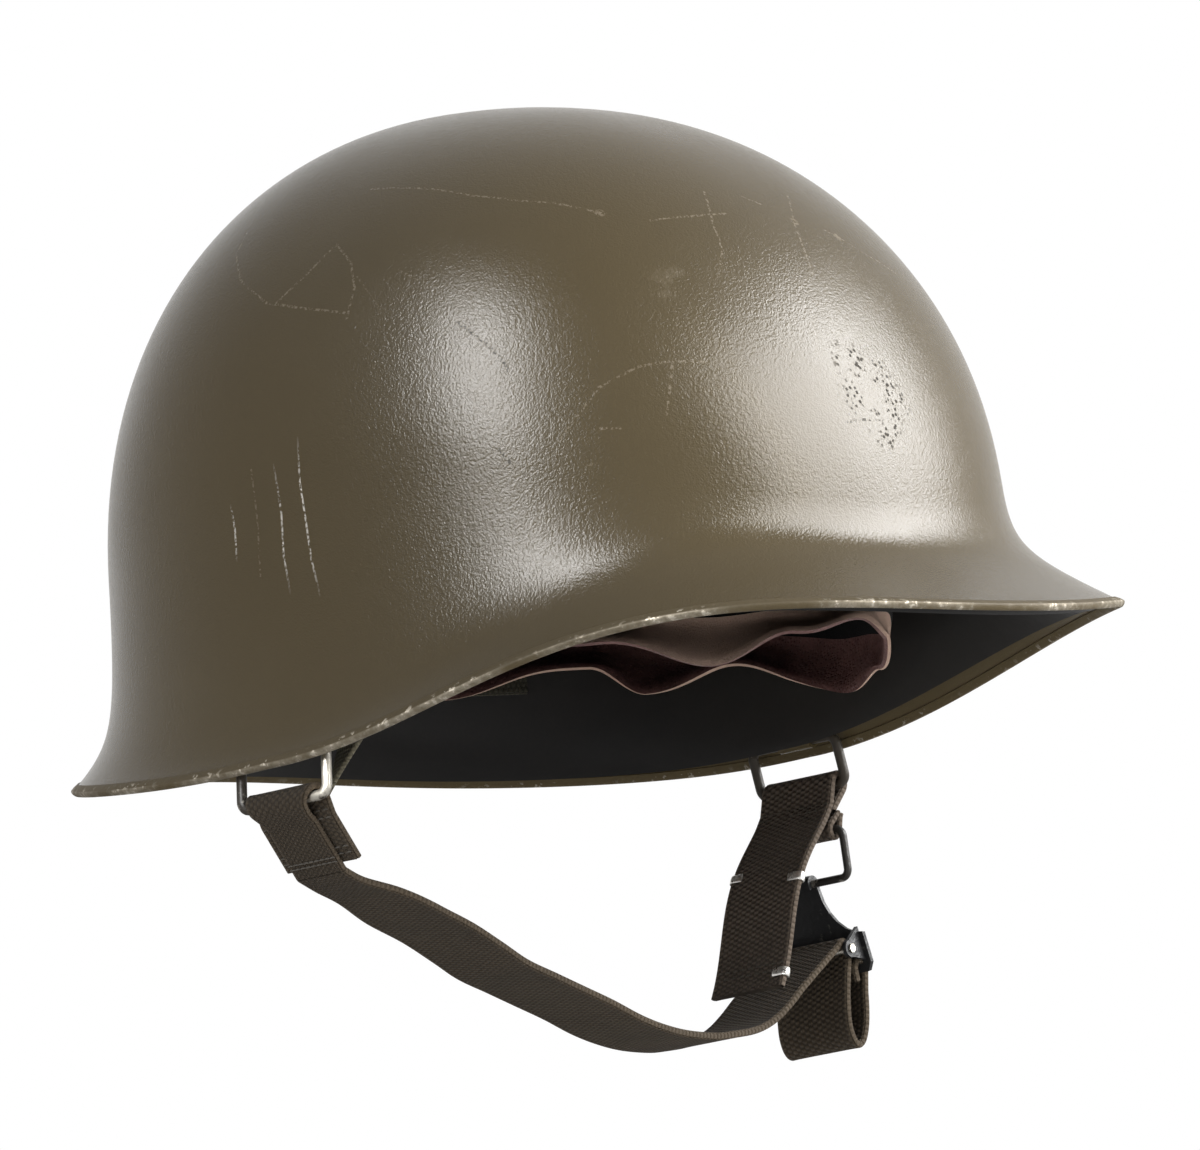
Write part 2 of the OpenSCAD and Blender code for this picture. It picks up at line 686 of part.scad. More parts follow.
// The head band is an oval that the suspension hangs inside the liner
function band_point(a, grow) =
    [(head_half_width + sweatband_inset + grow) * sin(a),
     -(head_half_length + sweatband_inset + grow) * cos(a)];
module suspension_band() {
    steps = [for (s = [0 : seg - 1]) 360 * s / seg];
    color("#56583f") {
        translate([0, 0, band_bottom])
            linear_extrude(height = band_top - band_bottom)
                difference() {
                    polygon([for (a = steps) band_point(a, suspension_thick / 2)]);
                    polygon([for (a = steps) band_point(a, -suspension_thick / 2)]);
                }
        for (a = anchors)
            band_hanger(a);
    }
}
// A short web from the head band up to the wall under an anchor
module band_hanger(a) {
    top_z = anchor_height - anchor_reach - hanger_end - web_clearance;
    wall = anchor_at(a, top_z, strap_standoff + suspension_thick / 2);
    way = strap_way(a);
    low = band_point(a, hanger_end / 2);
    out = unit([sin(a) / head_half_width, -cos(a) / head_half_length]);
    hull() {
        translate([wall.x, wall.y, top_z])
            rotate([0, 0, atan2(way.y, way.x)])
                cube([suspension_thick, suspension_width, hanger_end], center = true);
        translate([low.x, low.y, band_top - hanger_end])
            rotate([0, 0, atan2(out.y, out.x)])
                cube([hanger_end, suspension_width, hanger_end], center = true);
    }
}

// Leather band. Its cloth back hangs to a fold,
// and from there the soft leather lies over to one side as in use
function edge_height(table, a) = let (
    b = (a + 180 + 360) % 360 - 180,
    i = [for (k = [0 : len(table) - 2]) if (b >= table[k][0] && b <= table[k + 1][0]) k][0],
    t = (b - table[i][0]) / (table[i + 1][0] - table[i][0])
) mixed(table[i][1], table[i + 1][1], (1 - cos(180 * t)) / 2) * sweatband_top;
function sweat_middle(a, j) =
    let (inward = j == 0 ? 0 : sweatband_lean, over = [0, -1, 1][j] * sweatband_lean)
    [(head_half_width - inward) * sin(a) + over * sin(sweatband_side),
     -(head_half_length - inward) * cos(a) - over * cos(sweatband_side),
     j == 0 ? sweatband_top : edge_height(j == 1 ? sweatband_fold_shares : sweatband_foot_shares, a)];
function sweat_out(a, j) = let (d = unit(cross(
    sweat_middle(a, min(j + 1, 2)) - sweat_middle(a, max(j - 1, 0)),
    sweat_middle(a + 1, j) - sweat_middle(a - 1, j))))
    d * sweatband_thick / 2;
module sweatband() {
    n = 72;
    angles = [for (s = [0 : n - 1]) 360 * s / n];
    loops = concat(
        [for (j = [0 : 2], a = angles) sweat_middle(a, j) + sweat_out(a, j)],
        [for (j = [2 : -1 : 0], a = angles) sweat_middle(a, j) - sweat_out(a, j)]);
    closing = [for (s = [0 : n - 1]) let (s1 = (s + 1) % n)
        each [[5 * n + s, 5 * n + s1, s1], [5 * n + s, s1, s]]];
    color("#8a5a4c")
        polyhedron(points = loops, faces = concat(between_rings(0, 5, n, 0, false), closing));
}

// Wire clips that join the sweatband to the head band
module sweatband_clips() {
    color("#b9b5ab")
        for (i = [0 : clip_count - 1]) {
            a = 360 * (i + 0.5) / clip_count;
            out = unit([sin(a) / head_half_width, -cos(a) / head_half_length]);
            seat = band_point(a, -suspension_thick / 2);
            room = sweatband_inset - (sweatband_thick + suspension_thick) / 2;
            translate([seat.x, seat.y, sweatband_top - clip_height])
                rotate([0, 0, atan2(out.y, out.x)])
                    translate([-room + web_clearance, -clip_wire, 0])
                        cube([room - 2 * web_clearance, 2 * clip_wire, clip_height]);
        }
}

// Webbing across the nape, from wall to wall
module nape_strap() {
    side = inside(180 * nape_angle_share, 1, 1, liner_wall + nape_strap_gap);
    path = curve([
        [-side.x, side.y], [-side.x * nape_angle_share, side.y + nape_strap_rise * nape_bow_share / 2],
        [-side.x / 2, side.y + nape_strap_rise * nape_bow_share], [0, side.y + nape_strap_rise],
        [side.x / 2, side.y + nape_strap_rise * nape_bow_share],
        [side.x * nape_angle_share, side.y + nape_strap_rise * nape_bow_share / 2], [side.x, side.y]
    ], 6);
    color("#56583f")
        translate([0, 0, nape_strap_height])
            linear_extrude(height = suspension_width)
                polygon(strip(path, suspension_thick));
}

// A narrow strap that ties the liner to the right end of the chin strap
side_wall = inside(285, 1.6, 1, liner_wall + side_strap_thick / 2 + web_clearance);
side_top = [side_wall.x, bail_set_back - strap_width, nape_strap_height];
module side_strap() {
    color("#4c5138")
        difference() {
            translate([side_top.x, 0, 0])
                rotate([90, 0, 90])
                    linear_extrude(height = side_strap_thick, center = true)
                        polygon([
                            [side_top.y - side_strap_width / 2, side_top.z + side_strap_width / 2],
                            [side_top.y - side_strap_width / 2, side_top.z - side_strap_width / 2],
                            [bail_set_back - side_strap_width / 2, -side_strap_drop],
                            [bail_set_back + side_strap_width / 6, -side_strap_drop],
                            [side_top.y + side_strap_width / 2, side_top.z + side_strap_width / 2]
                        ]);
            side_stud_shank(bar_clearance);
        }
}
module side_stud_shank(clearance) {
    translate([side_top.x - side_strap_thick - liner_wall, side_top.y, side_top.z])
        rotate([0, 90, 0])
            cylinder(d = rivet_d + 2 * clearance, h = 2 * (side_strap_thick + liner_wall), $fn = 24);
}
module side_strap_stud() {
    color("#3c3a30") {
        translate([side_top.x + side_strap_thick / 2 + web_clearance, side_top.y, side_top.z])
            rotate([0, 90, 0])
                cylinder(d = stud_d, h = stud_head, $fn = 32);
        translate([side_top.x - side_strap_thick / 2, side_top.y, side_top.z])
            rotate([0, 90, 0])
                cylinder(d = rivet_d, h = side_strap_thick + web_clearance + stud_head, $fn = 24);
    }
}

module steel_shell() {
    color("#6b5f4b")
        pressed_shell(0, steel_wall);
}

// A channel of thin sheet that is crimped over the steel's edge
module rim_edging() {
    angles = [for (s = [0 : seg - 1]) 360 * s / seg];
    function corner(a, i) =
        let (lip = lip_u(a), top = skin(a, lip, 0), end = skin(a, 2, 0), out1 = skin_out(a, lip, 0),
             out2 = skin_out(a, 2, 0), down = unit(end - top), back = steel_wall + edging_gap,
             face = edging_gap + edging_wall)
        [end + out2 * edging_gap + down * edging_gap, end - out2 * back + down * edging_gap,
         top - out1 * back,
         top - out1 * (back + edging_wall), end - out2 * (back + edging_wall) + down * face,
         end + out2 * face + down * face, top + out1 * face, top + out1 * edging_gap][i];
    points = [for (i = [0 : 7], a = angles) corner(a, i)];
    closing = [for (s = [0 : seg - 1]) let (s1 = (s + 1) % seg)
        each [[7 * seg + s, 7 * seg + s1, s1], [7 * seg + s, s1, s]]];
    color("#7d705a")
        polyhedron(points = points, faces = concat(between_rings(0, 7, seg, 0, false), closing));
}

module left_bail() {
    color("#8d8778")
        bail();
}
module right_bail() {
    color("#8d8778")
        mirror([1, 0, 0])
            bail();
}
module left_bail_bracket() {
    color("#6b5f4b")
        bail_bracket();
}
module right_bail_bracket() {
    color("#6b5f4b")
        mirror([1, 0, 0])
            bail_bracket();
}
module front_crown_strap() crown_strap(30, 0);
module middle_crown_strap() crown_strap(90, 1);
module rear_crown_strap() crown_strap(150, 2);

steel_shell();
rim_edging();
right_bail_bracket();
left_bail_bracket();
right_bail();
left_bail();
chin_strap();
cheek_flap();
release_tab();
flap_clips();
release_ring();
hook_plate();
buckle_bar();
liner_shell();
liner_rivets();
a_washers();
front_crown_strap();
middle_crown_strap();
rear_crown_strap();
suspension_band();
sweatband();
sweatband_clips();
nape_strap();
side_strap();
side_strap_stud();
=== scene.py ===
"""Visual model of a steel pot helmet: pressed shell, liner, suspension, bails and chin strap.

Everything is in metres in the frame's own axes: -Y towards the visor, +X towards the
wearer's left and +Z up, with the origin in the middle of the head opening.
"""

import logging
import math
from dataclasses import dataclass
from enum import Enum
from typing import Sequence

import bmesh
import bpy
import numpy as np
from mathutils import Matrix, Vector


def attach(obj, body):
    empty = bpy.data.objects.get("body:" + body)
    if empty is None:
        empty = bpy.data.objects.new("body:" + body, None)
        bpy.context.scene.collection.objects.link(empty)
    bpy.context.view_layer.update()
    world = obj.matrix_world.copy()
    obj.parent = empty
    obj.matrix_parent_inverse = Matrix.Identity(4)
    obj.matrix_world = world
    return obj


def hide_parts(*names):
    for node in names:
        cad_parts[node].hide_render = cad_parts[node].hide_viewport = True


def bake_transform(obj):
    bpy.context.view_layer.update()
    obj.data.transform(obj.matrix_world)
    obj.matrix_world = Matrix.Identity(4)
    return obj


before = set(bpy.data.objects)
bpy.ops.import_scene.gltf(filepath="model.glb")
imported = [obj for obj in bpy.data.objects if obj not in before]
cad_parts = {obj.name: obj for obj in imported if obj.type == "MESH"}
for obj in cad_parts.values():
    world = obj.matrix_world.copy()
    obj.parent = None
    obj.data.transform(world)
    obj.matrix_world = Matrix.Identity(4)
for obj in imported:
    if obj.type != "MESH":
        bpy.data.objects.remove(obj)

LOG = logging.getLogger("pot_helmet")
MM = 0.001
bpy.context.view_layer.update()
Colour = tuple[float, float, float]
Point = tuple[float, float, float]
Table = tuple[tuple[float, float], ...]
Array = np.ndarray


# Shader maths

class Socket:
    """A node's output that takes part in Python arithmetic by adding Math nodes."""

    def __init__(self, shader: "Shader", output: bpy.types.NodeSocket) -> None:
        """Keep the shader that the output belongs to."""
        self.shader = shader
        self.output = output

    def _math(self, operation: str, *values: "Socket | float") -> "Socket":
        """Add one Math node on the given values."""
        sockets = dict(enumerate(values))
        return self.shader.node("ShaderNodeMath", {"operation": operation}, sockets)

    def __add__(self, other: "Socket | float") -> "Socket":
        """Return the sum."""
        return self._math("ADD", self, other)

    def __sub__(self, other: "Socket | float") -> "Socket":
        """Return the difference."""
        return self._math("SUBTRACT", self, other)

    def __rsub__(self, other: float) -> "Socket":
        """Return a number less this socket."""
        return self._math("SUBTRACT", other, self)

    def __mul__(self, other: "Socket | float") -> "Socket":
        """Return the product."""
        return self._math("MULTIPLY", self, other)

    def __truediv__(self, other: "Socket | float") -> "Socket":
        """Return the quotient."""
        return self._math("DIVIDE", self, other)

    __radd__ = __add__
    __rmul__ = __mul__

    def sine(self) -> "Socket":
        """Return the sine of this value in radians."""
        return self._math("SINE", self)

    def size(self) -> "Socket":
        """Return the value without its sign."""
        return self._math("ABSOLUTE", self)

    def at_most(self, other: "Socket | float") -> "Socket":
        """Return the smaller of the two values."""
        return self._math("MINIMUM", self, other)

    def at_least(self, other: "Socket | float") -> "Socket":
        """Return the larger of the two values."""
        return self._math("MAXIMUM", self, other)

    @staticmethod
    def none(shader: "Shader") -> "Socket":
        """Return a socket that is 0 everywhere."""
        return shader.node("ShaderNodeValue", {}, {})

    def whole(self) -> "Socket":
        """Return the whole number below this value."""
        return self._math("FLOOR", self)

    def ramp(self, low: float, high: float) -> "Socket":
        """Return 0 below low, 1 above high and a smooth rise between them."""
        return self.shader.node(
            "ShaderNodeMapRange", {"interpolation_type": "SMOOTHSTEP"},
            {"Value": self, "From Min": low, "From Max": high}, "Result")


class Shader:
    """One material and its nodes."""

    def __init__(self, name: str) -> None:
        """Start a material that holds a Principled BSDF and its output."""
        self.material = bpy.data.materials.new(name)
        self.material.use_nodes = True
        self.tree = self.material.node_tree
        self.tree.nodes.clear()
        self.surface = self.tree.nodes.new("ShaderNodeBsdfPrincipled")
        out = self.tree.nodes.new("ShaderNodeOutputMaterial")
        self.tree.links.new(self.surface.outputs["BSDF"], out.inputs["Surface"])

    def node(self, kind: str, settings: dict, sockets: dict, output: int | str = 0) -> Socket:
        """Add a node.

        Args:
            kind: The node's type.
            settings: Its properties.
            sockets: A value or a Socket for each input, by name or number.
            output: The output to hand back.

        Returns:
            That output.
        """
        made = self.tree.nodes.new(kind)
        for key, value in settings.items():
            setattr(made, key, value)
        for key, value in sockets.items():
            self.feed(made.inputs[key], value)
        return Socket(self, made.outputs[output])

    def vector(self, operation: str, sockets: dict, output: int = 0) -> Socket:
        """Add a Vector Math node, whose output 1 is a number."""
        return self.node("ShaderNodeVectorMath", {"operation": operation}, sockets, output)

    def feed(self, target: bpy.types.NodeSocket, value: Socket | float | Sequence[float]) -> None:
        """Link a Socket to an input, or set the input's value."""
        if isinstance(value, Socket):
            self.tree.links.new(value.output, target)
        elif isinstance(value, tuple) and target.type == "RGBA" and len(value) == 3:
            target.default_value = (*value, 1.0)
        else:
            target.default_value = value

    def set(self, **values: Socket | float | Colour) -> None:
        """Set inputs of the Principled BSDF, with _ for the spaces of their names."""
        for key, value in values.items():
            self.feed(self.surface.inputs[key.replace("_", " ")], value)

    def place(self) -> Socket:
        """Return Object coordinates, in metres in the frame's axes."""
        return self.node("ShaderNodeTexCoord", {}, {}, "Object")

    def along(self) -> tuple[Socket, Socket]:
        """Return the piece's own UV map as two values, in metres."""
        uv = self.node("ShaderNodeUVMap", {"uv_map": "lie"}, {})
        x = self.node("ShaderNodeSeparateXYZ", {}, {0: uv}, "X")
        return x, Socket(self, x.output.node.outputs["Y"])

    def noise(self, scale: float, detail: float = 2.0, roughness: float = 0.5) -> Socket:
        """Return noise with that many cells in a metre."""
        sockets = {"Vector": self.place(), "Scale": scale, "Detail": detail, "Roughness": roughness}
        return self.node("ShaderNodeTexNoise", {}, sockets, "Fac")

    def cells(self, scale: float) -> Socket:
        """Return the distance to the nearest of scattered points."""
        sockets = {"Vector": self.place(), "Scale": scale}
        return self.node("ShaderNodeTexVoronoi", {}, sockets, "Distance")

    def spots(self, centres: Sequence[Point], radius: float) -> Socket:
        """Return 1 in the middle of round places and 0 past their radius, in metres."""
        far = [self.vector("DISTANCE", {0: self.place(), 1: centre}, 1) for centre in centres]
        return sum(1.0 - away.ramp(radius * 0.35, radius) for away in far)

    def line(self, points: Sequence[Point]) -> Socket:
        """Return the distance in metres to a line of straight parts through points."""
        place, nearest = self.place(), None
        for start, end in zip(points[:-1], points[1:]):
            length = math.dist(start, end)
            way = tuple((q - p) / length for p, q in zip(start, end))
            off = self.vector("SUBTRACT", {0: place, 1: start})
            run = self.vector("DOT_PRODUCT", {0: off, 1: way}, 1)
            foot = self.vector("SCALE", {0: way, 3: run.at_least(0.0).at_most(length)})
            far = self.vector("DISTANCE", {0: off, 1: foot}, 1)
            nearest = far if nearest is None else nearest.at_most(far)
        return nearest

    def mix(self, factor: Socket | float, a: Socket | Colour, b: Socket | Colour) -> Socket:
        """Blend two colours."""
        return self.node("ShaderNodeMix", {"data_type": "RGBA"}, {0: factor, 6: a, 7: b}, 2)

    def bump(self, height: Socket, depth: float, below: Socket | None = None) -> Socket:
        """Return a normal that a height of so many metres gives."""
        sockets = {"Height": height, "Distance": depth, "Strength": 1.0}
        if below:
            sockets["Normal"] = below
        return self.node("ShaderNodeBump", {}, sockets)


# Finishes

class Mark(Enum):
    """What a scratch shows."""

    CHALK = "chalk"
    DARK = "dark"
    STEEL = "steel"


@dataclass(frozen=True)
class Scratch:
    """A mark through points on the object, in metres. One of steel fades at its ends."""

    points: Sequence[Point]
    half_width: float
    strength: float
    kind: Mark
    broken: float


@dataclass(frozen=True)
class ShellEnamel:
    """Olive enamel over fine grit, rubbed and scratched."""

    name: str = "shell_enamel"
    colour: Colour = (0.106, 0.080, 0.040)
    worn: Colour = (0.130, 0.102, 0.058)
    primer: Colour = (0.030, 0.026, 0.019)
    chalk: Colour = (0.330, 0.270, 0.190)
    steel: Colour = (0.720, 0.680, 0.610)
    roughness: float = 0.23
    grit: float = 0.00016
    speck_radius: float = 0.009
    specks: tuple[Point, ...] = (
        (-0.0130, -0.1151, 0.0992), (-0.0045, -0.1164, 0.0969), (0.0, -0.1194, 0.0887),
        (-0.0146, -0.1188, 0.0888), (-0.0073, -0.1215, 0.0809))
    scuff_radius: float = 0.008
    scuffs: tuple[Point, ...] = (
        (-0.0823, -0.0730, 0.1142), (-0.0556, -0.0915, 0.1203))
    blob_radius: float = 0.0018
    blobs: tuple[Point, ...] = (
        (0.0146, -0.0934, 0.1344), (-0.0580, -0.0706, 0.1411), (0.0, -0.0905, 0.1384))

    def material(self, scratches: Sequence[Scratch] = ()) -> bpy.types.Material:
        """Return the finish as a material.

        Args:
            scratches: Marks on the surface.

        Returns:
            The material.
        """
        s = Shader(self.name)
        broad, cloud = s.noise(9.0, 3.0, 0.55), s.noise(42.0, 4.0, 0.6)
        fine = s.noise(1300.0, 2.0, 0.6)
        colour = s.mix(broad.ramp(0.35, 0.7) * 0.30, self.colour, self.worn)
        colour = s.mix(s.noise(900.0, 2.0, 0.6).ramp(0.66, 0.74) * 0.25, colour, self.worn)
        dots = 1.0 - s.cells(700.0).ramp(0.28, 0.46)
        dots = dots * s.noise(190.0, 2.0, 0.5).ramp(0.42, 0.52)
        scuffs = s.spots(self.scuffs, self.scuff_radius) * cloud.ramp(0.48, 0.66)
        colour = s.mix(scuffs * fine.ramp(0.4, 0.6) * 0.3, colour, self.chalk)
        marks = {Mark.CHALK: Socket.none(s), Mark.STEEL: Socket.none(s),
                 Mark.DARK: dots * s.spots(self.specks, self.speck_radius).at_most(1.0)}
        if scratches:
            marks[Mark.CHALK] = s.spots(self.blobs, self.blob_radius) * fine.ramp(0.42, 0.52) * 0.5
        for mark in scratches:
            marks[mark.kind] = marks[mark.kind].at_least(self._line(s, mark, fine))
        chalk, dark, steel = marks[Mark.CHALK], marks[Mark.DARK], marks[Mark.STEEL]
        colour = s.mix(dark * 0.85, s.mix(chalk, colour, self.chalk), self.primer)
        colour = s.mix(steel, colour, self.steel)
        height = s.noise(1000.0, 2.0, 0.5) * 0.6 + s.noise(2000.0, 2.0, 0.5) * 0.4
        rough = self.roughness + (cloud - 0.5) * 0.12 + dark * 0.6 + (scuffs + chalk) * 0.25
        s.set(Base_Color=colour, Metallic=steel * 0.6, Roughness=rough,
              Normal=s.bump(height - steel * 0.3, self.grit), Specular_IOR_Level=0.18)
        return s.material

    @staticmethod
    def _line(s: Shader, mark: Scratch, fine: Socket) -> Socket:
        """Return how strongly a mark shows, broken up by fine noise."""
        line = 1.0 - s.line(mark.points).ramp(mark.half_width * 0.4, mark.half_width * 1.3)
        line = line * fine.ramp(mark.broken - 0.06, mark.broken + 0.06) * mark.strength
        if mark.kind is not Mark.STEEL:
            return line
        first, last = np.array(mark.points[0]), np.array(mark.points[-1])
        reach = float(np.linalg.norm(last - first)) * 0.56
        return line * s.spots([tuple(((first + last) / 2).tolist())], reach)


@dataclass(frozen=True)
class RimEnamel:
    """The shell's enamel, worn to bare steel in a thin line along the edge."""

    name: str = "rim_enamel"
    colour: Colour = (0.106, 0.080, 0.040)
    steel: Colour = (0.42, 0.38, 0.31)
    bites: float = 0.58

    def material(self) -> bpy.types.Material:
        """Return the finish as a material, worn most where the second UV value is near 0."""
        s = Shader(self.name)
        _, across = s.along()
        wear = s.noise(38.0, 2.0, 0.5).ramp(0.36, 0.62)
        fine = s.noise(420.0, 3.0, 0.65)
        line = (1.0 - across.size().ramp(0.0002, 0.0007)) * (wear * 0.55 + 0.02)
        chips = (1.0 - across.size().ramp(0.0010, 0.0030)) * wear
        chips = chips * fine.ramp(self.bites, self.bites + 0.05)
        bare = (line * (fine.ramp(0.34, 0.62) * 0.6 + 0.4) + chips * 0.8).at_most(1.0)
        s.set(Base_Color=s.mix(bare, self.colour, self.steel), Metallic=bare * 0.5,
              Roughness=0.6, Normal=s.bump(s.noise(700.0), 0.0002), Specular_IOR_Level=0.15)
        return s.material


@dataclass(frozen=True)
class WornWire:
    """Painted wire, bare where it rubs."""

    name: str
    paint: Colour = (0.050, 0.041, 0.031)
    steel: Colour = (0.52, 0.49, 0.43)
    bare: float = 0.5
    roughness: float = 0.42
    bare_spots: tuple[Point, ...] = ()

    def material(self) -> bpy.types.Material:
        """Return the finish as a material, with more bare steel round the given spots."""
        s = Shader(self.name)
        wear = s.noise(190.0, 4.0, 0.65)
        if self.bare_spots:
            wear = wear + s.spots(self.bare_spots, 0.012) * 0.25
        worn = wear.ramp(self.bare - 0.06, self.bare + 0.06)
        s.set(Base_Color=s.mix(worn, self.paint, self.steel), Metallic=worn,
              Roughness=self.roughness + (s.noise(400.0) - 0.5) * 0.2,
              Normal=s.bump(s.noise(900.0, 3.0), 0.00012), Specular_IOR_Level=0.25)
        return s.material


@dataclass(frozen=True)
class BlackEnamel:
    """Black enamel on pressed steel, worn grey in patches."""

    name: str = "black_enamel"
    colour: Colour = (0.016, 0.016, 0.017)
    grey: Colour = (0.10, 0.097, 0.09)

    def material(self) -> bpy.types.Material:
        """Return the finish as a material."""
        s = Shader(self.name)
        worn = s.noise(240.0, 4.0, 0.7).ramp(0.6, 0.72)
        s.set(Base_Color=s.mix(worn, self.colour, self.grey), Metallic=worn * 0.6,
              Roughness=0.42 + (s.noise(90.0) - 0.5) * 0.2, Normal=s.bump(s.noise(600.0), 0.0002),
              Specular_IOR_Level=0.25)
        return s.material


@dataclass(frozen=True)
class LinerBody:
    """Dark moulded composition with a dull shine."""

    name: str = "liner_body"
    colour: Colour = (0.010, 0.009, 0.0085)
    dust: Colour = (0.036, 0.032, 0.027)

    def material(self) -> bpy.types.Material:
        """Return the finish as a material."""
        s = Shader(self.name)
        dust = s.noise(14.0, 3.0, 0.55).ramp(0.42, 0.75)
        fibres = s.noise(1100.0, 2.0, 0.6)
        s.set(Base_Color=s.mix(dust * 0.35 + (fibres - 0.5) * 0.2, self.colour, self.dust),
              Roughness=0.42 + dust * 0.12, Normal=s.bump(s.noise(160.0, 2.0, 0.4), 0.00016),
              Specular_IOR_Level=0.22)
        return s.material


@dataclass(frozen=True)
class Weave:
    """Cotton webbing: ribs across the width, bound by warp threads along it."""

    name: str
    colour: Colour
    dirt: Colour
    rib: float = 0.00155
    thread: float = 0.00150
    half_width: float = 0.0125

    def material(self) -> bpy.types.Material:
        """Return the finish as a material that reads the strap's own UV map."""
        s = Shader(self.name)
        along, across = s.along()
        column = across / self.thread
        row = along / self.rib + column.whole() * 0.5
        over = (row * math.tau).sine() * 0.5 + 0.5
        ridge = (column * math.pi).sine().size()
        height = over * (ridge * 0.75 + 0.25)
        edge = across.size().ramp(self.half_width * 0.86, self.half_width * 0.97)
        fuzz = s.noise(2600.0, 3.0, 0.7)
        grime = s.noise(60.0, 4.0, 0.6).ramp(0.35, 0.7)
        # Painted shade: the low places between the ribs are made darker, as the weave's hollows
        # would be shaded
        colour = s.mix(height.ramp(0.0, 0.6), tuple(0.52 * c for c in self.colour), self.colour)
        colour = s.mix(grime * 0.35, colour, self.dirt)
        colour = s.mix(fuzz.ramp(0.60, 0.78) * 0.35, colour, tuple(1.9 * c for c in self.colour))
        colour = s.mix(edge * 0.55, colour, tuple(1.6 * c for c in self.colour))
        s.set(Base_Color=colour, Roughness=0.92, Normal=s.bump(height + fuzz * 0.3, 0.00055),
              Specular_IOR_Level=0.1, Sheen_Weight=0.04, Sheen_Roughness=0.5)
        return s.material


class Hide(Enum):
    """The two sides of split leather."""

    SUEDE = "suede"
    GRAIN = "grain"


@dataclass(frozen=True)
class Leather:
    """One side of the sweatband's leather."""

    side: Hide
    colour: Colour
    dark: Colour

    def material(self) -> bpy.types.Material:
        """Return the finish as a material."""
        s = Shader("sweatband_" + self.side.value)
        blotch = s.noise(70.0, 4.0, 0.6).ramp(0.3, 0.75)
        if self.side is Hide.SUEDE:
            nap = s.noise(1500.0, 4.0, 0.75)
            colour = s.mix(blotch * 0.6 + (nap - 0.5) * 0.8, self.colour, self.dark)
            s.set(Base_Color=colour, Roughness=0.95, Normal=s.bump(nap, 0.0006),
                  Specular_IOR_Level=0.08)
            return s.material
        pores = s.cells(900.0).ramp(0.0, 0.6) + s.noise(120.0, 3.0) * 2.0
        colour = s.mix(blotch * 0.7, self.colour, self.dark)
        s.set(Base_Color=colour, Roughness=0.48 + blotch * 0.15, Normal=s.bump(pores, 0.00025),
              Specular_IOR_Level=0.2)
        return s.material


@dataclass(frozen=True)
class Thread:
    """Waxed sewing thread, twisted."""

    name: str
    colour: Colour

    def material(self) -> bpy.types.Material:
        """Return the finish as a material."""
        s = Shader(self.name)
        fuzz = s.noise(3000.0, 2.0, 0.6)
        colour = s.mix(fuzz.ramp(0.4, 0.7), tuple(0.6 * c for c in self.colour), self.colour)
        s.set(Base_Color=colour, Roughness=0.8, Normal=s.bump(fuzz, 0.0002))
        return s.material


# Meshes

def grid_object(name: str, points: Array, closed_rows: bool = False, closed_columns: bool = False,
                lie_u: Array | None = None, lie_v: Array | None = None, caps: bool = False,
                poles: Sequence[tuple[int, Array]] = ()) -> bpy.types.Object:
    """Make a smooth mesh from a grid of points, with its normals outwards.

    Args:
        name: The object's name.
        points: Rows by columns by 3, in metres.
        closed_rows: The last row joins the first.
        closed_columns: The last column joins the first.
        lie_u: UV value of each row, and of the closing one.
        lie_v: UV value of each column, and of the closing one.
        caps: Close both ends of a tube.
        poles: Pairs of a row and a point that the row closes on.

    Returns:
        The object, linked to the scene.
    """
    rows, columns = points.shape[:2]
    row_count = rows if closed_rows else rows - 1
    column_count = columns if closed_columns else columns - 1
    r, c = np.meshgrid(np.arange(row_count), np.arange(column_count), indexing="ij")
    r1, c1 = (r + 1) % rows, (c + 1) % columns
    corners = [r * columns + c, r * columns + c1, r1 * columns + c1, r1 * columns + c]
    faces = np.stack(corners, -1).reshape(-1, 4).tolist()
    vertices = points.reshape(-1, 3).tolist()
    if caps:
        faces += [list(range(columns)), list(range((rows - 1) * columns, rows * columns))]
    for row, pole in poles:
        vertices.append(list(pole))
        first = row * columns
        faces += [[first + k, first + (k + 1) % columns, len(vertices) - 1] for k in range(columns)]
    mesh = bpy.data.meshes.new(name)
    mesh.from_pydata(vertices, [], faces)
    if lie_u is not None and lie_v is not None:
        layer = mesh.uv_layers.new(name="lie")
        flat = np.zeros((len(mesh.loops), 2))
        places = [(r, c), (r, c + 1), (r + 1, c + 1), (r + 1, c)]
        uv = np.stack([np.stack([lie_u[i], lie_v[j]], -1) for i, j in places], -2).reshape(-1, 2)
        flat[:len(uv)] = uv
        layer.data.foreach_set("uv", flat.ravel())
    return finish_mesh(name, mesh)


def finish_mesh(name: str, mesh: bpy.types.Mesh, smooth_degrees: float = 50.0) -> bpy.types.Object:
    """Turn a mesh's faces outwards, smooth it but for sharp edges, and link it as an object."""
    work = bmesh.new()
    work.from_mesh(mesh)
    bmesh.ops.recalc_face_normals(work, faces=work.faces)
    work.to_mesh(mesh)
    work.free()
    mesh.polygons.foreach_set("use_smooth", [True] * len(mesh.polygons))
    mesh.set_sharp_from_angle(angle=math.radians(smooth_degrees))
    made = bpy.data.objects.new(name, mesh)
    bpy.context.scene.collection.objects.link(made)
    return made


def dress(piece: bpy.types.Object, material: bpy.types.Material, slot: str, body: str,
          *replaced: str) -> bpy.types.Object:
    """Give a piece its finish and body, and hide the CAD nodes it replaces. With no body it is left
    unattached.
    """
    piece.data.materials.clear()
    piece.data.materials.append(material)
    if body:
        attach(piece, body)
    if replaced:
        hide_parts(*replaced)
    LOG.info("%s: %d faces", piece.name, len(piece.data.polygons))
    return piece


def dress_nodes(material: bpy.types.Material, *names: str) -> None:
    """Give CAD nodes that are shown as they are their material."""
    for name in names:
        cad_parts[name].material_slots[0].material = material


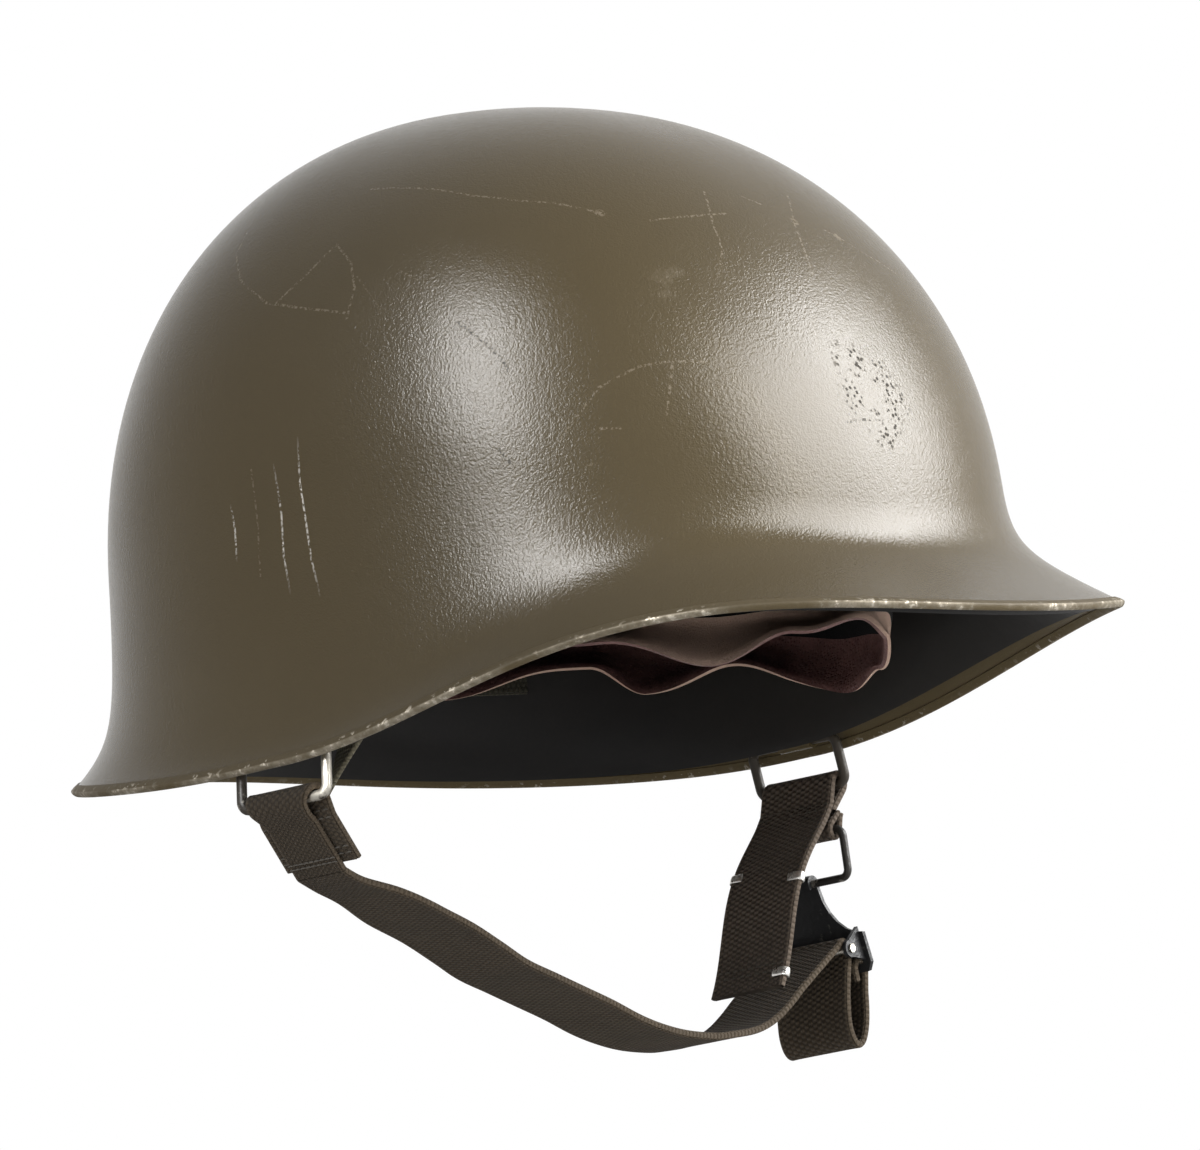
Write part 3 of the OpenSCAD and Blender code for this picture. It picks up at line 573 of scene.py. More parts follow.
def unit(v: Array) -> Array:
    """Return vectors scaled to length 1."""
    return v / np.maximum(np.linalg.norm(v, axis=-1, keepdims=True), 1e-12)


def smooth_path(points: Sequence[Sequence[float]], parts: int = 8) -> Array:
    """Return a curve through points, with so many steps between each pair."""
    p = np.asarray(points, float)
    p = np.vstack([2 * p[0] - p[1], p, 2 * p[-1] - p[-2]])
    t = np.linspace(0, 1, parts, endpoint=False)[:, None]
    out = []
    for a, b, c, d in zip(p[:-3], p[1:-2], p[2:-1], p[3:]):
        square, cube = 2 * a - 5 * b + 4 * c - d, 3 * b - a - 3 * c + d
        out.append(0.5 * (2 * b + (c - a) * t + square * t * t + cube * t ** 3))
    return np.vstack(out + [p[-2:-1]])


def lengths(path: Array) -> Array:
    """Return the length of a path up to each of its points."""
    return np.concatenate([[0.0], np.cumsum(np.linalg.norm(np.diff(path, axis=0), axis=1))])


def even_path(path: Array, step: float) -> Array:
    """Return the path with points a step apart."""
    run = lengths(path)
    count = max(int(run[-1] / step), 2)
    at = np.linspace(0, run[-1], count + 1)
    return np.stack([np.interp(at, run, path[:, k]) for k in range(path.shape[1])], -1)


def oval(turn: Array | float, half_width: float, half_length: float,
         height: Array | float = 0.0) -> Array:
    """Return points of a level oval, at angles in radians from -Y towards +X."""
    places = np.broadcast_arrays(half_width * np.sin(turn), -half_length * np.cos(turn), height)
    return np.stack(places, -1)


def aim(degrees: float) -> Array:
    """Return the direction at an angle in a drawing."""
    return np.array([math.cos(math.radians(degrees)), math.sin(math.radians(degrees))])


def arc(centre: Array, radius: float, first: float, last: float, steps: int = 24) -> Array:
    """Return points on an arc between two angles in degrees."""
    t = np.radians(np.linspace(first, last, steps + 1))
    return centre + radius * np.stack([np.cos(t), np.sin(t)], -1)


def wire_loop(name: str, path: Array, radius: float, sides: int = 20) -> bpy.types.Object:
    """Make a closed round wire along a path in space."""
    ahead = unit(np.roll(path, -1, 0) - np.roll(path, 1, 0))
    normal = unit(np.cross(ahead, [1.0, 0.13, 0.07]))
    side = np.cross(ahead, normal)
    turn = np.linspace(0, math.tau, sides, endpoint=False)[:, None]
    around = np.cos(turn) * normal[:, None] + np.sin(turn) * side[:, None]
    points = path[:, None] + radius * around
    return grid_object(name, points, closed_rows=True, closed_columns=True)


# The pressed forms

@dataclass(frozen=True)
class Pressing:
    """The form that the steel and the liner share, in millimetres and degrees."""

    half_width: float = 109.8
    front_reach: float = 109.0
    rear_reach: float = 114.0
    crown: float = 177.0
    crown_back: float = 5.3
    wall: float = 1.1
    brow: float = 62.4
    temple: float = 79.6
    nape: float = 39.6
    visor_flare: float = 34.0
    side_flare: float = 7.4
    nape_flare: float = 15.3
    rim_terms: tuple[float, ...] = (13.0, 17.3, 7.9, -2.9, -2.3, -1.2)
    plan_power: float = 2.25
    powers: tuple[float, float, float] = (2.3, 2.15, 2.08)
    brow_splay: float = 0.141
    rim_angles: tuple[float, float, float] = (23.9, 50.2, 43.6)
    skirt_weight: float = 2.0
    end_gap: float = 1.2
    side_gap: float = 3.0
    crown_gap: float = 0.3
    liner_wall: float = 2.0

    @staticmethod
    def round_head(a: Array, front: float, side: float, rear: float, fade: float = 2.0,
                   rear_fade: float = 2.0) -> Array:
        """Return a value that runs from the visor over the ears to the nape."""
        c = np.cos(a)
        end = np.where(c > 0, front, rear)
        return side + (end - side) * np.abs(c) ** np.where(c > 0, fade, rear_fade)

    def outward(self, a: Array) -> Array:
        """Return the level direction out of the plan at each angle."""
        reach = np.where(np.cos(a) > 0, self.front_reach, self.rear_reach)
        return unit(np.stack([np.sin(a) / self.half_width, -np.cos(a) / reach], -1))

    def plan(self, a: Array, layer: int) -> Array:
        """Return the plan of the wall at each angle."""
        e = 2 / self.plan_power
        s, c = np.sin(a), np.cos(a)
        reach = np.where(c > 0, self.front_reach, self.rear_reach)
        x, y = self.half_width * np.sign(s) * np.abs(s) ** e, -reach * np.sign(c) * np.abs(c) ** e
        inset = layer * (self.wall + self.round_head(a, self.end_gap, self.side_gap, self.end_gap))
        return np.stack([x, y], -1) - self.outward(a) * inset[..., None]

    def top(self, layer: int) -> float:
        """Return the height of a layer's crown."""
        return self.crown - layer * (self.wall + self.crown_gap)

    def turn(self, a: Array) -> Array:
        """Return the height where the wall starts to turn out."""
        return self.round_head(a, self.brow, self.temple, self.nape, 2.28)

    def flare(self, a: Array, layer: int) -> Array:
        """Return how far the rim stands past the wall."""
        if layer == 0:
            return self.round_head(a, self.visor_flare, self.side_flare, self.nape_flare, 2.0, 1.6)
        return self.round_head(a, self.visor_flare - 4.0, 0.5, self.nape_flare - 4.4, 2.0, 1.6)

    def edge(self, a: Array, layer: int) -> Array:
        """Return the height of the rim."""
        height = sum(k * np.cos(i * a) for i, k in enumerate(self.rim_terms))
        return height + layer * self.round_head(a, -0.2, 2.4, 1.3)

    def skin(self, a: Array, u: Array, layer: int) -> Array:
        """Find points of a layer's outer skin.

        Args:
            a: Angles in radians from the visor.
            u: Places down the skin: 0 at the crown, 1 where the wall turns out, 2 at the rim.
            layer: 0 for the steel and 1 for the liner.

        Returns:
            The points in metres.
        """
        a, u = np.broadcast_arrays(a, u)
        plan, out_way = self.plan(a, layer), self.outward(a)
        top, z0 = self.top(layer), self.turn(a)
        splay = self.round_head(a, self.brow_splay, 0.0, 0.0)
        n = self.round_head(a, *self.powers)
        phi = np.minimum(u, 1.0) * math.pi / 2
        rho = np.maximum(np.sin(phi), 1e-9) ** (2 / n)
        z = z0 + (top - z0) * np.maximum(np.cos(phi), 0.0) ** (2 / n)
        out = splay * (top - z) * rho ** 2
        dome = np.concatenate([plan * rho[..., None] + out_way * out[..., None], z[..., None]], -1)
        dome[..., 1] += self.crown_back * (1 - rho)
        t = np.maximum(u - 1, 0.0)
        f, z2 = self.flare(a, layer), self.edge(a, layer)
        z1 = z2 + f * np.tan(np.radians(self.round_head(a, *self.rim_angles)))
        out0 = splay * (top - z0)
        out1 = out0 + splay * (z0 - z1)
        b0, b1, b2 = (1 - t) ** 2, 2 * self.skirt_weight * t * (1 - t), t * t
        total = b0 + b1 + b2
        z = (b0 * z0 + b1 * z1 + b2 * z2) / total
        out = (b0 * out0 + b1 * out1 + b2 * (out1 + f)) / total
        skirt = np.concatenate([plan + out_way * out[..., None], z[..., None]], -1)
        return np.where((u <= 1)[..., None], dome, skirt) * MM

    def normal(self, a: Array, u: Array, layer: int) -> Array:
        """Return the direction out of a layer's skin."""
        a, u = np.broadcast_arrays(a, u)
        lower, upper = np.minimum(u + 0.002, 2.0), np.maximum(u - 0.002, 0.001)
        du = self.skin(a, lower, layer) - self.skin(a, upper, layer)
        da = self.skin(a + 0.01, u, layer) - self.skin(a - 0.01, u, layer)
        return unit(np.cross(du, da))

    def inside(self, a: Array, u: Array, layer: int, depth: float) -> Array:
        """Return points a depth in millimetres inside a layer's outer skin."""
        return self.skin(a, u, layer) - self.normal(a, u, layer) * depth * MM

    def crown_u(self, a: float, z: float, layer: int) -> float:
        """Return where a height in millimetres lies on the crown."""
        n = float(self.round_head(np.array(a), *self.powers))
        z0 = float(self.turn(np.array(a)))
        share = max(z - z0, 0.0) / (self.top(layer) - z0)
        return math.acos(min(share ** (n / 2), 1.0)) * 2 / math.pi

    def shell(self, name: str, layer: int, wall: float, around: int, down: int) -> bpy.types.Object:
        """Return a closed shell of a layer's skin and the same skin drawn in by its wall."""
        a = np.linspace(0, math.tau, around, endpoint=False)[None, :]
        u = np.linspace(0, 2, 2 * down + 1)[1:, None]
        outer = self.skin(a, u, layer)
        inner = self.inside(a, u, layer, wall)
        lip = (outer[-1] + inner[-1]) / 2 + (outer[-1] - outer[-3]) * 0.08
        points = np.concatenate([outer, lip[None], inner[::-1]])
        top = np.array([0.0, self.crown_back, self.top(layer)]) * MM
        poles = ((0, top), (len(points) - 1, top - np.array([0, 0, wall * MM])))
        return grid_object(name, points, closed_columns=True, poles=poles)


@dataclass(frozen=True)
class SteelShell:
    """The pressed steel shell with its crimped edging."""

    form: Pressing = Pressing()
    edging_lip: float = 2.6
    edging_wall: float = 0.5
    edging_length: float = 0.86
    # Marks run through pairs of degrees round from the visor and places down the skin
    grazes: tuple[Table, ...] = (
        ((-83.5, 0.475), (-71.5, 0.487), (-61.5, 0.515), (-53, 0.531), (-44.5, 0.543),
         (-38, 0.563)),
        ((-106.5, 0.539), (-105, 0.595), (-100, 0.662), (-93.5, 0.718), (-88, 0.738),
         (-81.5, 0.754)),
        ((-92, 0.722), (-89, 0.67), (-85.5, 0.61), (-82, 0.654), (-80.5, 0.706), (-81, 0.766)),
        ((-29.5, 0.579), (-21, 0.567), (-13.5, 0.559)),
        ((-14.5, 0.507), (-17.5, 0.583), (-18.5, 0.638), (-21.5, 0.69)),
        ((4.5, 0.507), (-0.5, 0.579), (-2.5, 0.634), (-4, 0.682)),
        ((5, 0.587), (7, 0.602), (11, 0.634), (17.5, 0.674)),
        ((-49.5, 0.966), (-46.5, 0.926), (-43.5, 0.886), (-37.5, 0.85), (-32.5, 0.838),
         (-27.5, 0.838)),
        ((-32.5, 0.842), (-33.5, 0.878), (-34.5, 0.918)), ((-44.5, 0.946), (-41, 0.942)))
    faint: tuple[Table, ...] = (
        ((-80.5, 0.682), (-75.5, 0.758)), ((-73.5, 0.678), (-67, 0.718)),
        ((-7.5, 0.742), (-10, 0.818)), ((-7.5, 0.511), (-3.5, 0.535)),
        ((-46, 0.994), (-44.5, 0.99)), ((-93.5, 0.998), (-93, 1.053), (-93, 1.137)))
    gouges: tuple[Table, ...] = (
        ((-87.5, 0.96), (-87.5, 1.017), (-87, 1.061), (-86.5, 1.121), (-85.5, 1.2)),
        ((-90.5, 0.995), (-90, 1.049), (-90, 1.109), (-89.5, 1.18)),
        ((-97, 1.029), (-96.5, 1.061), (-96.5, 1.105)))
    dark_grazes: tuple[Table, ...] = (
        ((-63.5, 0.782), (-59, 0.822), (-57, 0.846), (-56, 0.866)),
        ((-8.5, 0.914), (-5.5, 0.91), (-2.5, 0.91)), ((-58, 0.982), (-56.5, 0.998)))

    def marks(self) -> list[Scratch]:
        """Return every mark on the steel as a line through places."""
        kinds = ((self.grazes, 0.00042, 0.50, Mark.CHALK, 0.53),
                 (self.faint, 0.00036, 0.28, Mark.CHALK, 0.53),
                 (self.gouges, 0.00034, 0.8, Mark.STEEL, 0.49),
                 (self.dark_grazes, 0.00048, 0.8, Mark.DARK, 0.54))
        marks = []
        for lines, half_width, strength, kind, broken in kinds:
            for line in lines:
                points = [self.form.skin(np.radians(a), np.array(u), 0) for a, u in line]
                points = [tuple(point.tolist()) for point in points]
                marks.append(Scratch(points, half_width, strength, kind, broken))
        return marks

    def build(self) -> None:
        """Make the shell and the edging, and dress the brackets."""
        enamel = ShellEnamel().material(self.marks())
        shell = self.form.shell("steel_shell_skin", 0, self.form.wall, 360, 48)
        dress(shell, enamel, "shell_paint", "helmet", "steel_shell")
        dress(self._edging(), RimEnamel().material(), "shell_paint", "helmet", "rim_edging")
        plain = ShellEnamel("bracket_enamel").material()
        dress_nodes(plain, "left_bail_bracket", "right_bail_bracket")

    def _edging(self) -> bpy.types.Object:
        """Return the channel crimped over the steel's edge, with rounded corners."""
        form, wall, steel = self.form, self.edging_wall, self.form.wall
        a = np.linspace(0, math.tau, 720, endpoint=False)
        rim = np.full_like(a, 2.0)
        slope = np.cos(np.radians(form.round_head(a, *form.rim_angles)))
        lip = 2 - self.edging_lip * slope / (2 * form.skirt_weight * form.flare(a, 0))
        top, end = form.skin(a, lip, 0), form.skin(a, rim, 0)
        out1, out2 = form.normal(a, lip, 0) * MM, form.normal(a, rim - 0.001, 0) * MM
        down = unit(end - top) * MM
        mid, half = end - out2 * steel / 2, steel / 2 + wall
        loop = [top, top + out1 * wall * 0.7, (top + end) / 2 + (out1 + out2) * wall * 0.5]
        across = [4.0, 3.4, 1.7]
        for turn in np.linspace(90, -90, 9):
            way = out2 * half * math.sin(math.radians(turn))
            loop.append(mid + way + down * wall * 1.1 * math.cos(math.radians(turn)))
            across.append(0.4 * turn / 90)
        loop += [(top + end) / 2 - (out1 + out2) / 2 * (steel + wall),
                 top - out1 * (steel + wall * 0.7), top - out1 * steel, end - out2 * steel, end]
        across += [-1.7, -3.4, -4.0, -4.4, 4.4, 4.0]
        turned = np.stack(loop).transpose(1, 0, 2)
        run = np.linspace(0, self.edging_length, len(turned) + 1)
        return grid_object("rim_edging_strip", turned, closed_rows=True, closed_columns=True,
                           lie_u=run, lie_v=np.array(across) * MM)


@dataclass(frozen=True)
class Ribbon:
    """Webbing along a path, in metres, with a UV map that follows its weave."""

    name: str
    path: Array
    across: Array
    width: float | Array
    thick: float
    start: float = 0.0
    closed: bool = False
    flat_columns: int = 13
    swell: float = 0.10

    def run(self) -> Array:
        """Return the length of the path up to each point, in metres."""
        ring = np.vstack([self.path, self.path[:1]]) if self.closed else self.path
        return self.start + lengths(ring)

    def faces(self) -> tuple[Array, Array]:
        """Return the directions out of the upper face and over the width at each point."""
        if self.closed:
            ahead = np.roll(self.path, -1, 0) - np.roll(self.path, 1, 0)
        else:
            ahead = np.gradient(self.path, axis=0)
        across = np.broadcast_to(self.across, self.path.shape)
        return unit(np.cross(ahead, across)), across

    def build(self) -> bpy.types.Object:
        """Return the webbing as an object."""
        normal, across = self.faces()
        half = np.broadcast_to(np.asarray(self.width, float) / 2, (len(self.path),))[:, None]
        r = self.thick / 2
        flat = np.linspace(-1, 1, self.flat_columns)
        upper = [(v, 0.0, 1.0 + self.swell * abs(v) ** 8) for v in flat]
        edge = [(1.0, math.cos(t), math.sin(t)) for t in np.radians([60, 30, 0, -30, -60])]
        lower = [tuple(-place for place in places) for places in upper + edge[::-1]]
        columns, lie = [], []
        for share, past, height in upper + edge + lower:
            v = share * (half - r) + past * r
            columns.append(self.path + across * v + normal * r * height)
            lie.append(float(share * (half.max() - r) + past * r))
        return grid_object(self.name, np.stack(columns, 1), self.closed, True, self.run(),
                           np.array(lie + lie[:1]), caps=not self.closed)

    def tack(self, at: Sequence[float], over: Sequence[float], side: int) -> tuple[Array, Array]:
        """Find where stitches lie on the webbing.

        Args:
            at: Lengths along the webbing, in metres from its start.
            over: Distances from its middle line, where it is widest.
            side: 1 for the upper face and -1 for the lower one.

        Returns:
            The places and the unit directions, in that order.
        """
        normal, across = self.faces()
        run = self.run()[:len(self.path)] - self.start
        wide = np.broadcast_to(np.asarray(self.width, float), (len(self.path),))
        stand = side * (self.thick / 2 + 0.1 * MM)
        places, ways = [], []
        for k in (int(np.argmin(np.abs(run - s))) for s in at):
            share = wide[k] / wide.max()
            places += [self.path[k] + across[k] * v * share + normal[k] * stand for v in over]
            ways += [across[k]] * len(over)
        return np.array(places), unit(np.array(ways))


class Repeat:
    """A Geometry Nodes set-up that places one small piece at many points, turned along ways."""

    def __init__(self, name: str) -> None:
        """Build the node group."""
        self.tree = bpy.data.node_groups.new(name, "GeometryNodeTree")
        face = self.tree.interface
        face.new_socket("Points", in_out="INPUT", socket_type="NodeSocketGeometry")
        self.sockets = {
            label: face.new_socket(label, in_out="INPUT", socket_type=kind)
            for label, kind in (("Piece", "NodeSocketObject"), ("Spread", "NodeSocketFloat"),
                                ("Seed", "NodeSocketInt"), ("Finish", "NodeSocketMaterial"))}
        face.new_socket("Pieces", in_out="OUTPUT", socket_type="NodeSocketGeometry")
        start, end = self._node("NodeGroupInput", {}, {}), self._node("NodeGroupOutput", {}, {})
        way = self._attribute("way")
        out = self._attribute("out")
        turn = self._node("FunctionNodeAlignRotationToVector", {"axis": "X"}, {"Vector": way})
        lean = self._node("FunctionNodeAlignRotationToVector", {"axis": "Z", "pivot_axis": "X"},
                          {"Rotation": turn.outputs[0], "Vector": out})
        low = self._node("ShaderNodeMath", {"operation": "SUBTRACT"},
                         {0: 1.0, 1: start.outputs["Spread"]})
        size = self._node("FunctionNodeRandomValue", {"data_type": "FLOAT"},
                          {2: low.outputs[0], 3: 1.0, "Seed": start.outputs["Seed"]})
        piece = self._node("GeometryNodeObjectInfo", {}, {"Object": start.outputs["Piece"]})
        spread = self._node("GeometryNodeInstanceOnPoints", {}, {
            "Points": start.outputs["Points"], "Instance": piece.outputs["Geometry"],
            "Rotation": lean.outputs[0], "Scale": size.outputs[1]})
        plain = self._node("GeometryNodeRealizeInstances", {}, {"Geometry": spread.outputs[0]})
        finish = self._node("GeometryNodeSetMaterial", {},
                            {"Geometry": plain.outputs[0], "Material": start.outputs["Finish"]})
        self.tree.links.new(finish.outputs[0], end.inputs[0])

    def _node(self, kind: str, settings: dict, sockets: dict) -> bpy.types.Node:
        """Add a node with its settings and its inputs' values or links."""
        made = self.tree.nodes.new(kind)
        for key, value in settings.items():
            setattr(made, key, value)
        for key, value in sockets.items():
            if isinstance(value, bpy.types.NodeSocket):
                self.tree.links.new(value, made.inputs[key])
            else:
                made.inputs[key].default_value = value
        return made

    def _attribute(self, name: str) -> bpy.types.NodeSocket:
        """Return a direction that the points carry."""
        settings = {"data_type": "FLOAT_VECTOR"}
        return self._node("GeometryNodeInputNamedAttribute", settings, {"Name": name}).outputs[0]

    def place(self, name: str, piece: bpy.types.Object, places: Array, ways: Array, outs: Array,
              finish: bpy.types.Material, spread: float = 0.0, seed: int = 7) -> bpy.types.Object:
        """Place copies of a piece and return them as one plain mesh.

        Args:
            name: The new object's name.
            piece: The piece, with its length along X and its outside at +Z.
            places: Where each copy goes.
            ways: The direction of each copy's length.
            outs: The direction of each copy's outside.
            finish: The material.
            spread: How much smaller than full size a copy may be, as a share.
            seed: The seed of that share.

        Returns:
            The object.
        """
        mesh = bpy.data.meshes.new(name)
        mesh.from_pydata(places.tolist(), [], [])
        for label, values in (("way", ways), ("out", outs)):
            attribute = mesh.attributes.new(label, "FLOAT_VECTOR", "POINT")
            attribute.data.foreach_set("vector", values.ravel())
        made = bpy.data.objects.new(name, mesh)
        bpy.context.scene.collection.objects.link(made)
        modifier = made.modifiers.new("repeat", "NODES")
        modifier.node_group = self.tree
        values = {"Piece": piece, "Spread": spread, "Seed": seed, "Finish": finish}
        for label, value in values.items():
            modifier[self.sockets[label].identifier] = value
        graph = bpy.context.evaluated_depsgraph_get()
        plain = bpy.data.meshes.new_from_object(made.evaluated_get(graph))
        made.modifiers.clear()
        made.data = plain
        plain.polygons.foreach_set("use_smooth", [True] * len(plain.polygons))
        return made


def small_piece(name: str, points: Array, closed: bool) -> bpy.types.Object:
    """Return a lofted piece for copying, kept out of the scene."""
    made = grid_object(name, points, closed_rows=closed, closed_columns=True, caps=not closed)
    bpy.context.scene.collection.objects.unlink(made)
    return made


def thread_piece(length: float, radius: float) -> bpy.types.Object:
    """Return one stitch: a short thread that dips at both ends."""
    x = np.linspace(-0.5, 0.5, 7)
    fat = np.sqrt(np.maximum(1 - (2 * x) ** 4, 0.04)) * radius
    turn = np.linspace(0, math.tau, 8, endpoint=False)
    y, z = fat[:, None] * np.cos(turn), fat[:, None] * np.sin(turn) - (2 * x[:, None]) ** 2 * radius
    x = np.broadcast_to(x[:, None] * length, y.shape)
    return small_piece("stitch", np.stack([x, y, z], -1), False)


# Webbing and metal that hang from the bails

@dataclass(frozen=True)
class Hanging:
    """Turns drawings of what hangs from the left pivot, in x and height, into places."""

    pivot: tuple[float, float, float] = (110.78, 1.8, 5.605)
    tilt: float = math.radians(6)

    def web(self, points: Array) -> Array:
        """Return the places of webbing, which hangs straight down, from points of x and height."""
        p = np.asarray(points, float)
        z = self.pivot[2] + p[..., 1] / math.cos(self.tilt)
        return np.stack([p[..., 0], np.full_like(z, self.pivot[1]), z], -1) * MM

    def over(self) -> Array:
        """Return the direction over the webbing's width."""
        return np.array([0.0, 1.0, -math.tan(self.tilt)])

    def square(self, x: Array, y: Array, z: Array, level: float) -> Array:
        """Return the places of wire and sheet, which stand square to the pivots at a level."""
        y = np.asarray(y) - level * math.tan(self.tilt)
        c, s = math.cos(self.tilt), math.sin(self.tilt)
        places = x, self.pivot[1] + y * c + z * s, self.pivot[2] - y * s + z * c
        return np.stack(np.broadcast_arrays(*places), -1) * MM


def rounded_loop(width: float, height: float, corner: float,
                 parts: int = 10) -> tuple[Array, Array]:
    """Return y and z of a closed loop that hangs from the middle of its upper side."""
    ys, zs = [], []
    for k, (sy, sz) in enumerate(((1, 0), (-1, 0), (-1, -1), (1, -1))):
        cy = sy * (width / 2 - corner)
        cz = -corner if sz == 0 else corner - height
        turn = np.radians(90 * k + np.linspace(0, 90, parts))
        ys.append(cy + corner * np.cos(turn))
        zs.append(cz + corner * np.sin(turn))
    return np.concatenate(ys), np.concatenate(zs)


@dataclass(frozen=True)
class SheetClip:
    """A small sheet clip that is crimped over an edge of webbing, in millimetres."""

    arm: float = 3.0
    bend: float = 1.27
    half_width: float = 1.3
    half_wall: float = 0.25

    def build(self) -> bpy.types.Object:
        """Return one clip for copying, with its back towards +X."""
        turn = np.radians(np.linspace(90, -90, 9))
        upper = np.array([(-self.arm - 0.2, self.bend - 0.02), (-self.arm, self.bend),
                          (-self.arm / 2, self.bend)])
        back = self.bend * np.stack([np.cos(turn), np.sin(turn)], -1)
        line = np.vstack([upper, back, upper[::-1] * [1, -1]])
        out = unit(np.gradient(line, axis=0))[:, [1, 0]] * [-1, 1]
        turn = np.linspace(0, math.tau, 12, endpoint=False)
        wide = np.sign(np.cos(turn)) * np.abs(np.cos(turn)) ** 0.7 * self.half_width
        high = self.half_wall * np.sin(turn)
        x, z = line[:, :1] + out[:, :1] * high, line[:, 1:] + out[:, 1:] * high
        points = np.stack([x, np.broadcast_to(wide, x.shape), z], -1) * MM
        return small_piece("sheet_clip", points, False)


@dataclass(frozen=True)
class ChinStrap:
    """The chin strap with its bails, flap, tab, ring and buckle, in millimetres and degrees."""

    hang: Hanging = Hanging()
    width: float = 25.0
    thick: float = 1.8
    gap: float = 0.06
    clearance: float = 0.4
    throat: float = 7.0
    wrap: float = 18.0
    tail: float = 22.0
    slopes: tuple[float, float] = (50.0, 61.0)
    step: float = 0.7
    # The bails and the ring
    wire: float = 2.8
    drop: float = 13.4
    lean: float = 10.0
    bail_width: float = 29.0
    bail_corner: float = 2.6
    ring_size: tuple[float, float] = (28.6, 13.6)
    ring_corner: float = 2.4
    ring_wire: float = 2.2
    ring_seat: float = 12.4
    # The flap and the tab
    flap_ends: tuple[float, float] = (8.0, 63.0)
    flap_bow: float = 4.4
    tab_thick: float = 1.5
    tab_start: float = 7.2
    tab_radius: float = 2.15
    clips: Table = ((1, 34.65), (-1, 31.5), (-1, 4.41))
    # The buckle, and how the strap turns round its bar and round the plate's foot
    plate_lean: float = 14.0
    plate_length: float = 27.0
    plate_stand: float = 1.82
    bar_down: float = 19.0
    bar_stand: float = 5.6
    bar_turn: float = 2.3
    foot_turn: float = 2.4
    foot_edge: float = 1.2
    # The strap's path: its lowest point, and shares of the way across and down
    lowest: tuple[float, float] = (50.9, -80.46)
    fall: Table = (
        (0, 0), (0.05, 0.06), (0.13, 0.13), (0.22, 0.24), (0.31, 0.34), (0.39, 0.45), (0.46, 0.55),
        (0.54, 0.63), (0.62, 0.71), (0.70, 0.79), (0.78, 0.88), (0.85, 0.94), (0.92, 0.98), (1, 1))
    rise: Table = (
        (0.14, 0.01), (0.29, 0.04), (0.40, 0.10), (0.50, 0.20), (0.60, 0.35), (0.69, 0.51),
        (0.79, 0.67), (0.89, 0.83), (1, 1))
    loop: Table = (
        (-0.06, 0.14), (-0.18, 0.36), (-0.25, 0.6), (-0.2, 0.8), (0, 0.94), (0.28, 1), (0.56, 0.95),
        (0.75, 0.8), (0.82, 0.62), (0.82, 0.45))
    loop_size: tuple[float, float] = (8.0, 26.0)
    # Where the strap is drawn together below the right bail, by length past the bail
    grip: Table = ((-14, 0.0), (2, 1.0), (24, 1.0), (56, 0.0))
    narrowed: float = 0.33
    moved_back: float = 0.8
    # The bodies that the strap lies on, and the x of the seams between its spans
    bodies: tuple[str, ...] = (
        "right_bail_body", "helmet", "left_bail_body", "left_strap", "ring", "buckle")
    seams: tuple[float, ...] = (-30, 30, 75, 95)

    def bar(self) -> Array:
        """Return the middle of the left bail's lower bar."""
        return np.array([self.hang.pivot[0], 0.0]) + self.drop * aim(self.lean - 90)

    def legs(self, side: int) -> tuple[Array, Array]:
        """Return the directions along and out of the webbing at the right (-1) or left (1) bail."""
        leg = aim(self.slopes[side > 0]) * [-side, -1]
        return leg, np.array([-leg[1], leg[0]])

    def fold(self, centre: Array, leg: Array, side: Array, inner: float, outer: float,
             bow: float = 0.0) -> Array:
        """Lead webbing round a bar in a fold.

        Args:
            centre: The middle of the bar.
            leg: The direction that both ends hang in.
            side: The direction out of the inner end.
            inner: The length that the inner end hangs down.
            outer: The length that the outer end hangs down.
            bow: How far the outer end is bowed in.

        Returns:
            The path, as points of x and height.
        """
        half, r = (self.thick + self.gap) / 2, (self.wire + self.thick) / 2 + self.clearance
        angle = math.degrees(math.atan2(side[1], side[0]))
        ends = [centre + leg * inner + side * half, centre + leg * self.throat + side * half]
        back = [centre + leg * self.throat - side * half, centre + leg * outer - side * half]
        if bow:
            share = np.linspace(0, 1, 13)[1:-1, None]
            bent = back[0] + (back[1] - back[0]) * share
            bent = bent - side * bow * np.sin(math.pi * share ** 0.85) ** 2
            back = smooth_path(np.vstack([back[:1], bent, back[1:]]), 4)
        return np.vstack([ends, arc(centre, r, angle - self.wrap, angle + 180 + self.wrap), back])

    def low_points(self) -> dict[str, Array]:
        """Return the ring's upper bar, the plate's top, its two directions and its bar."""
        leg, side = self.legs(1)
        top = self.bar() + leg * self.ring_seat + side * self._tab_stand()
        bottom = top - np.array([0, self.ring_size[1]])
        way, inward = aim(self.plate_lean - 90), -aim(self.plate_lean)
        plate = bottom - inward * self.plate_stand
        bar = plate + way * self.bar_down + inward * self.bar_stand
        return {"top": top, "plate": plate, "way": way, "inward": inward, "buckle": bar}

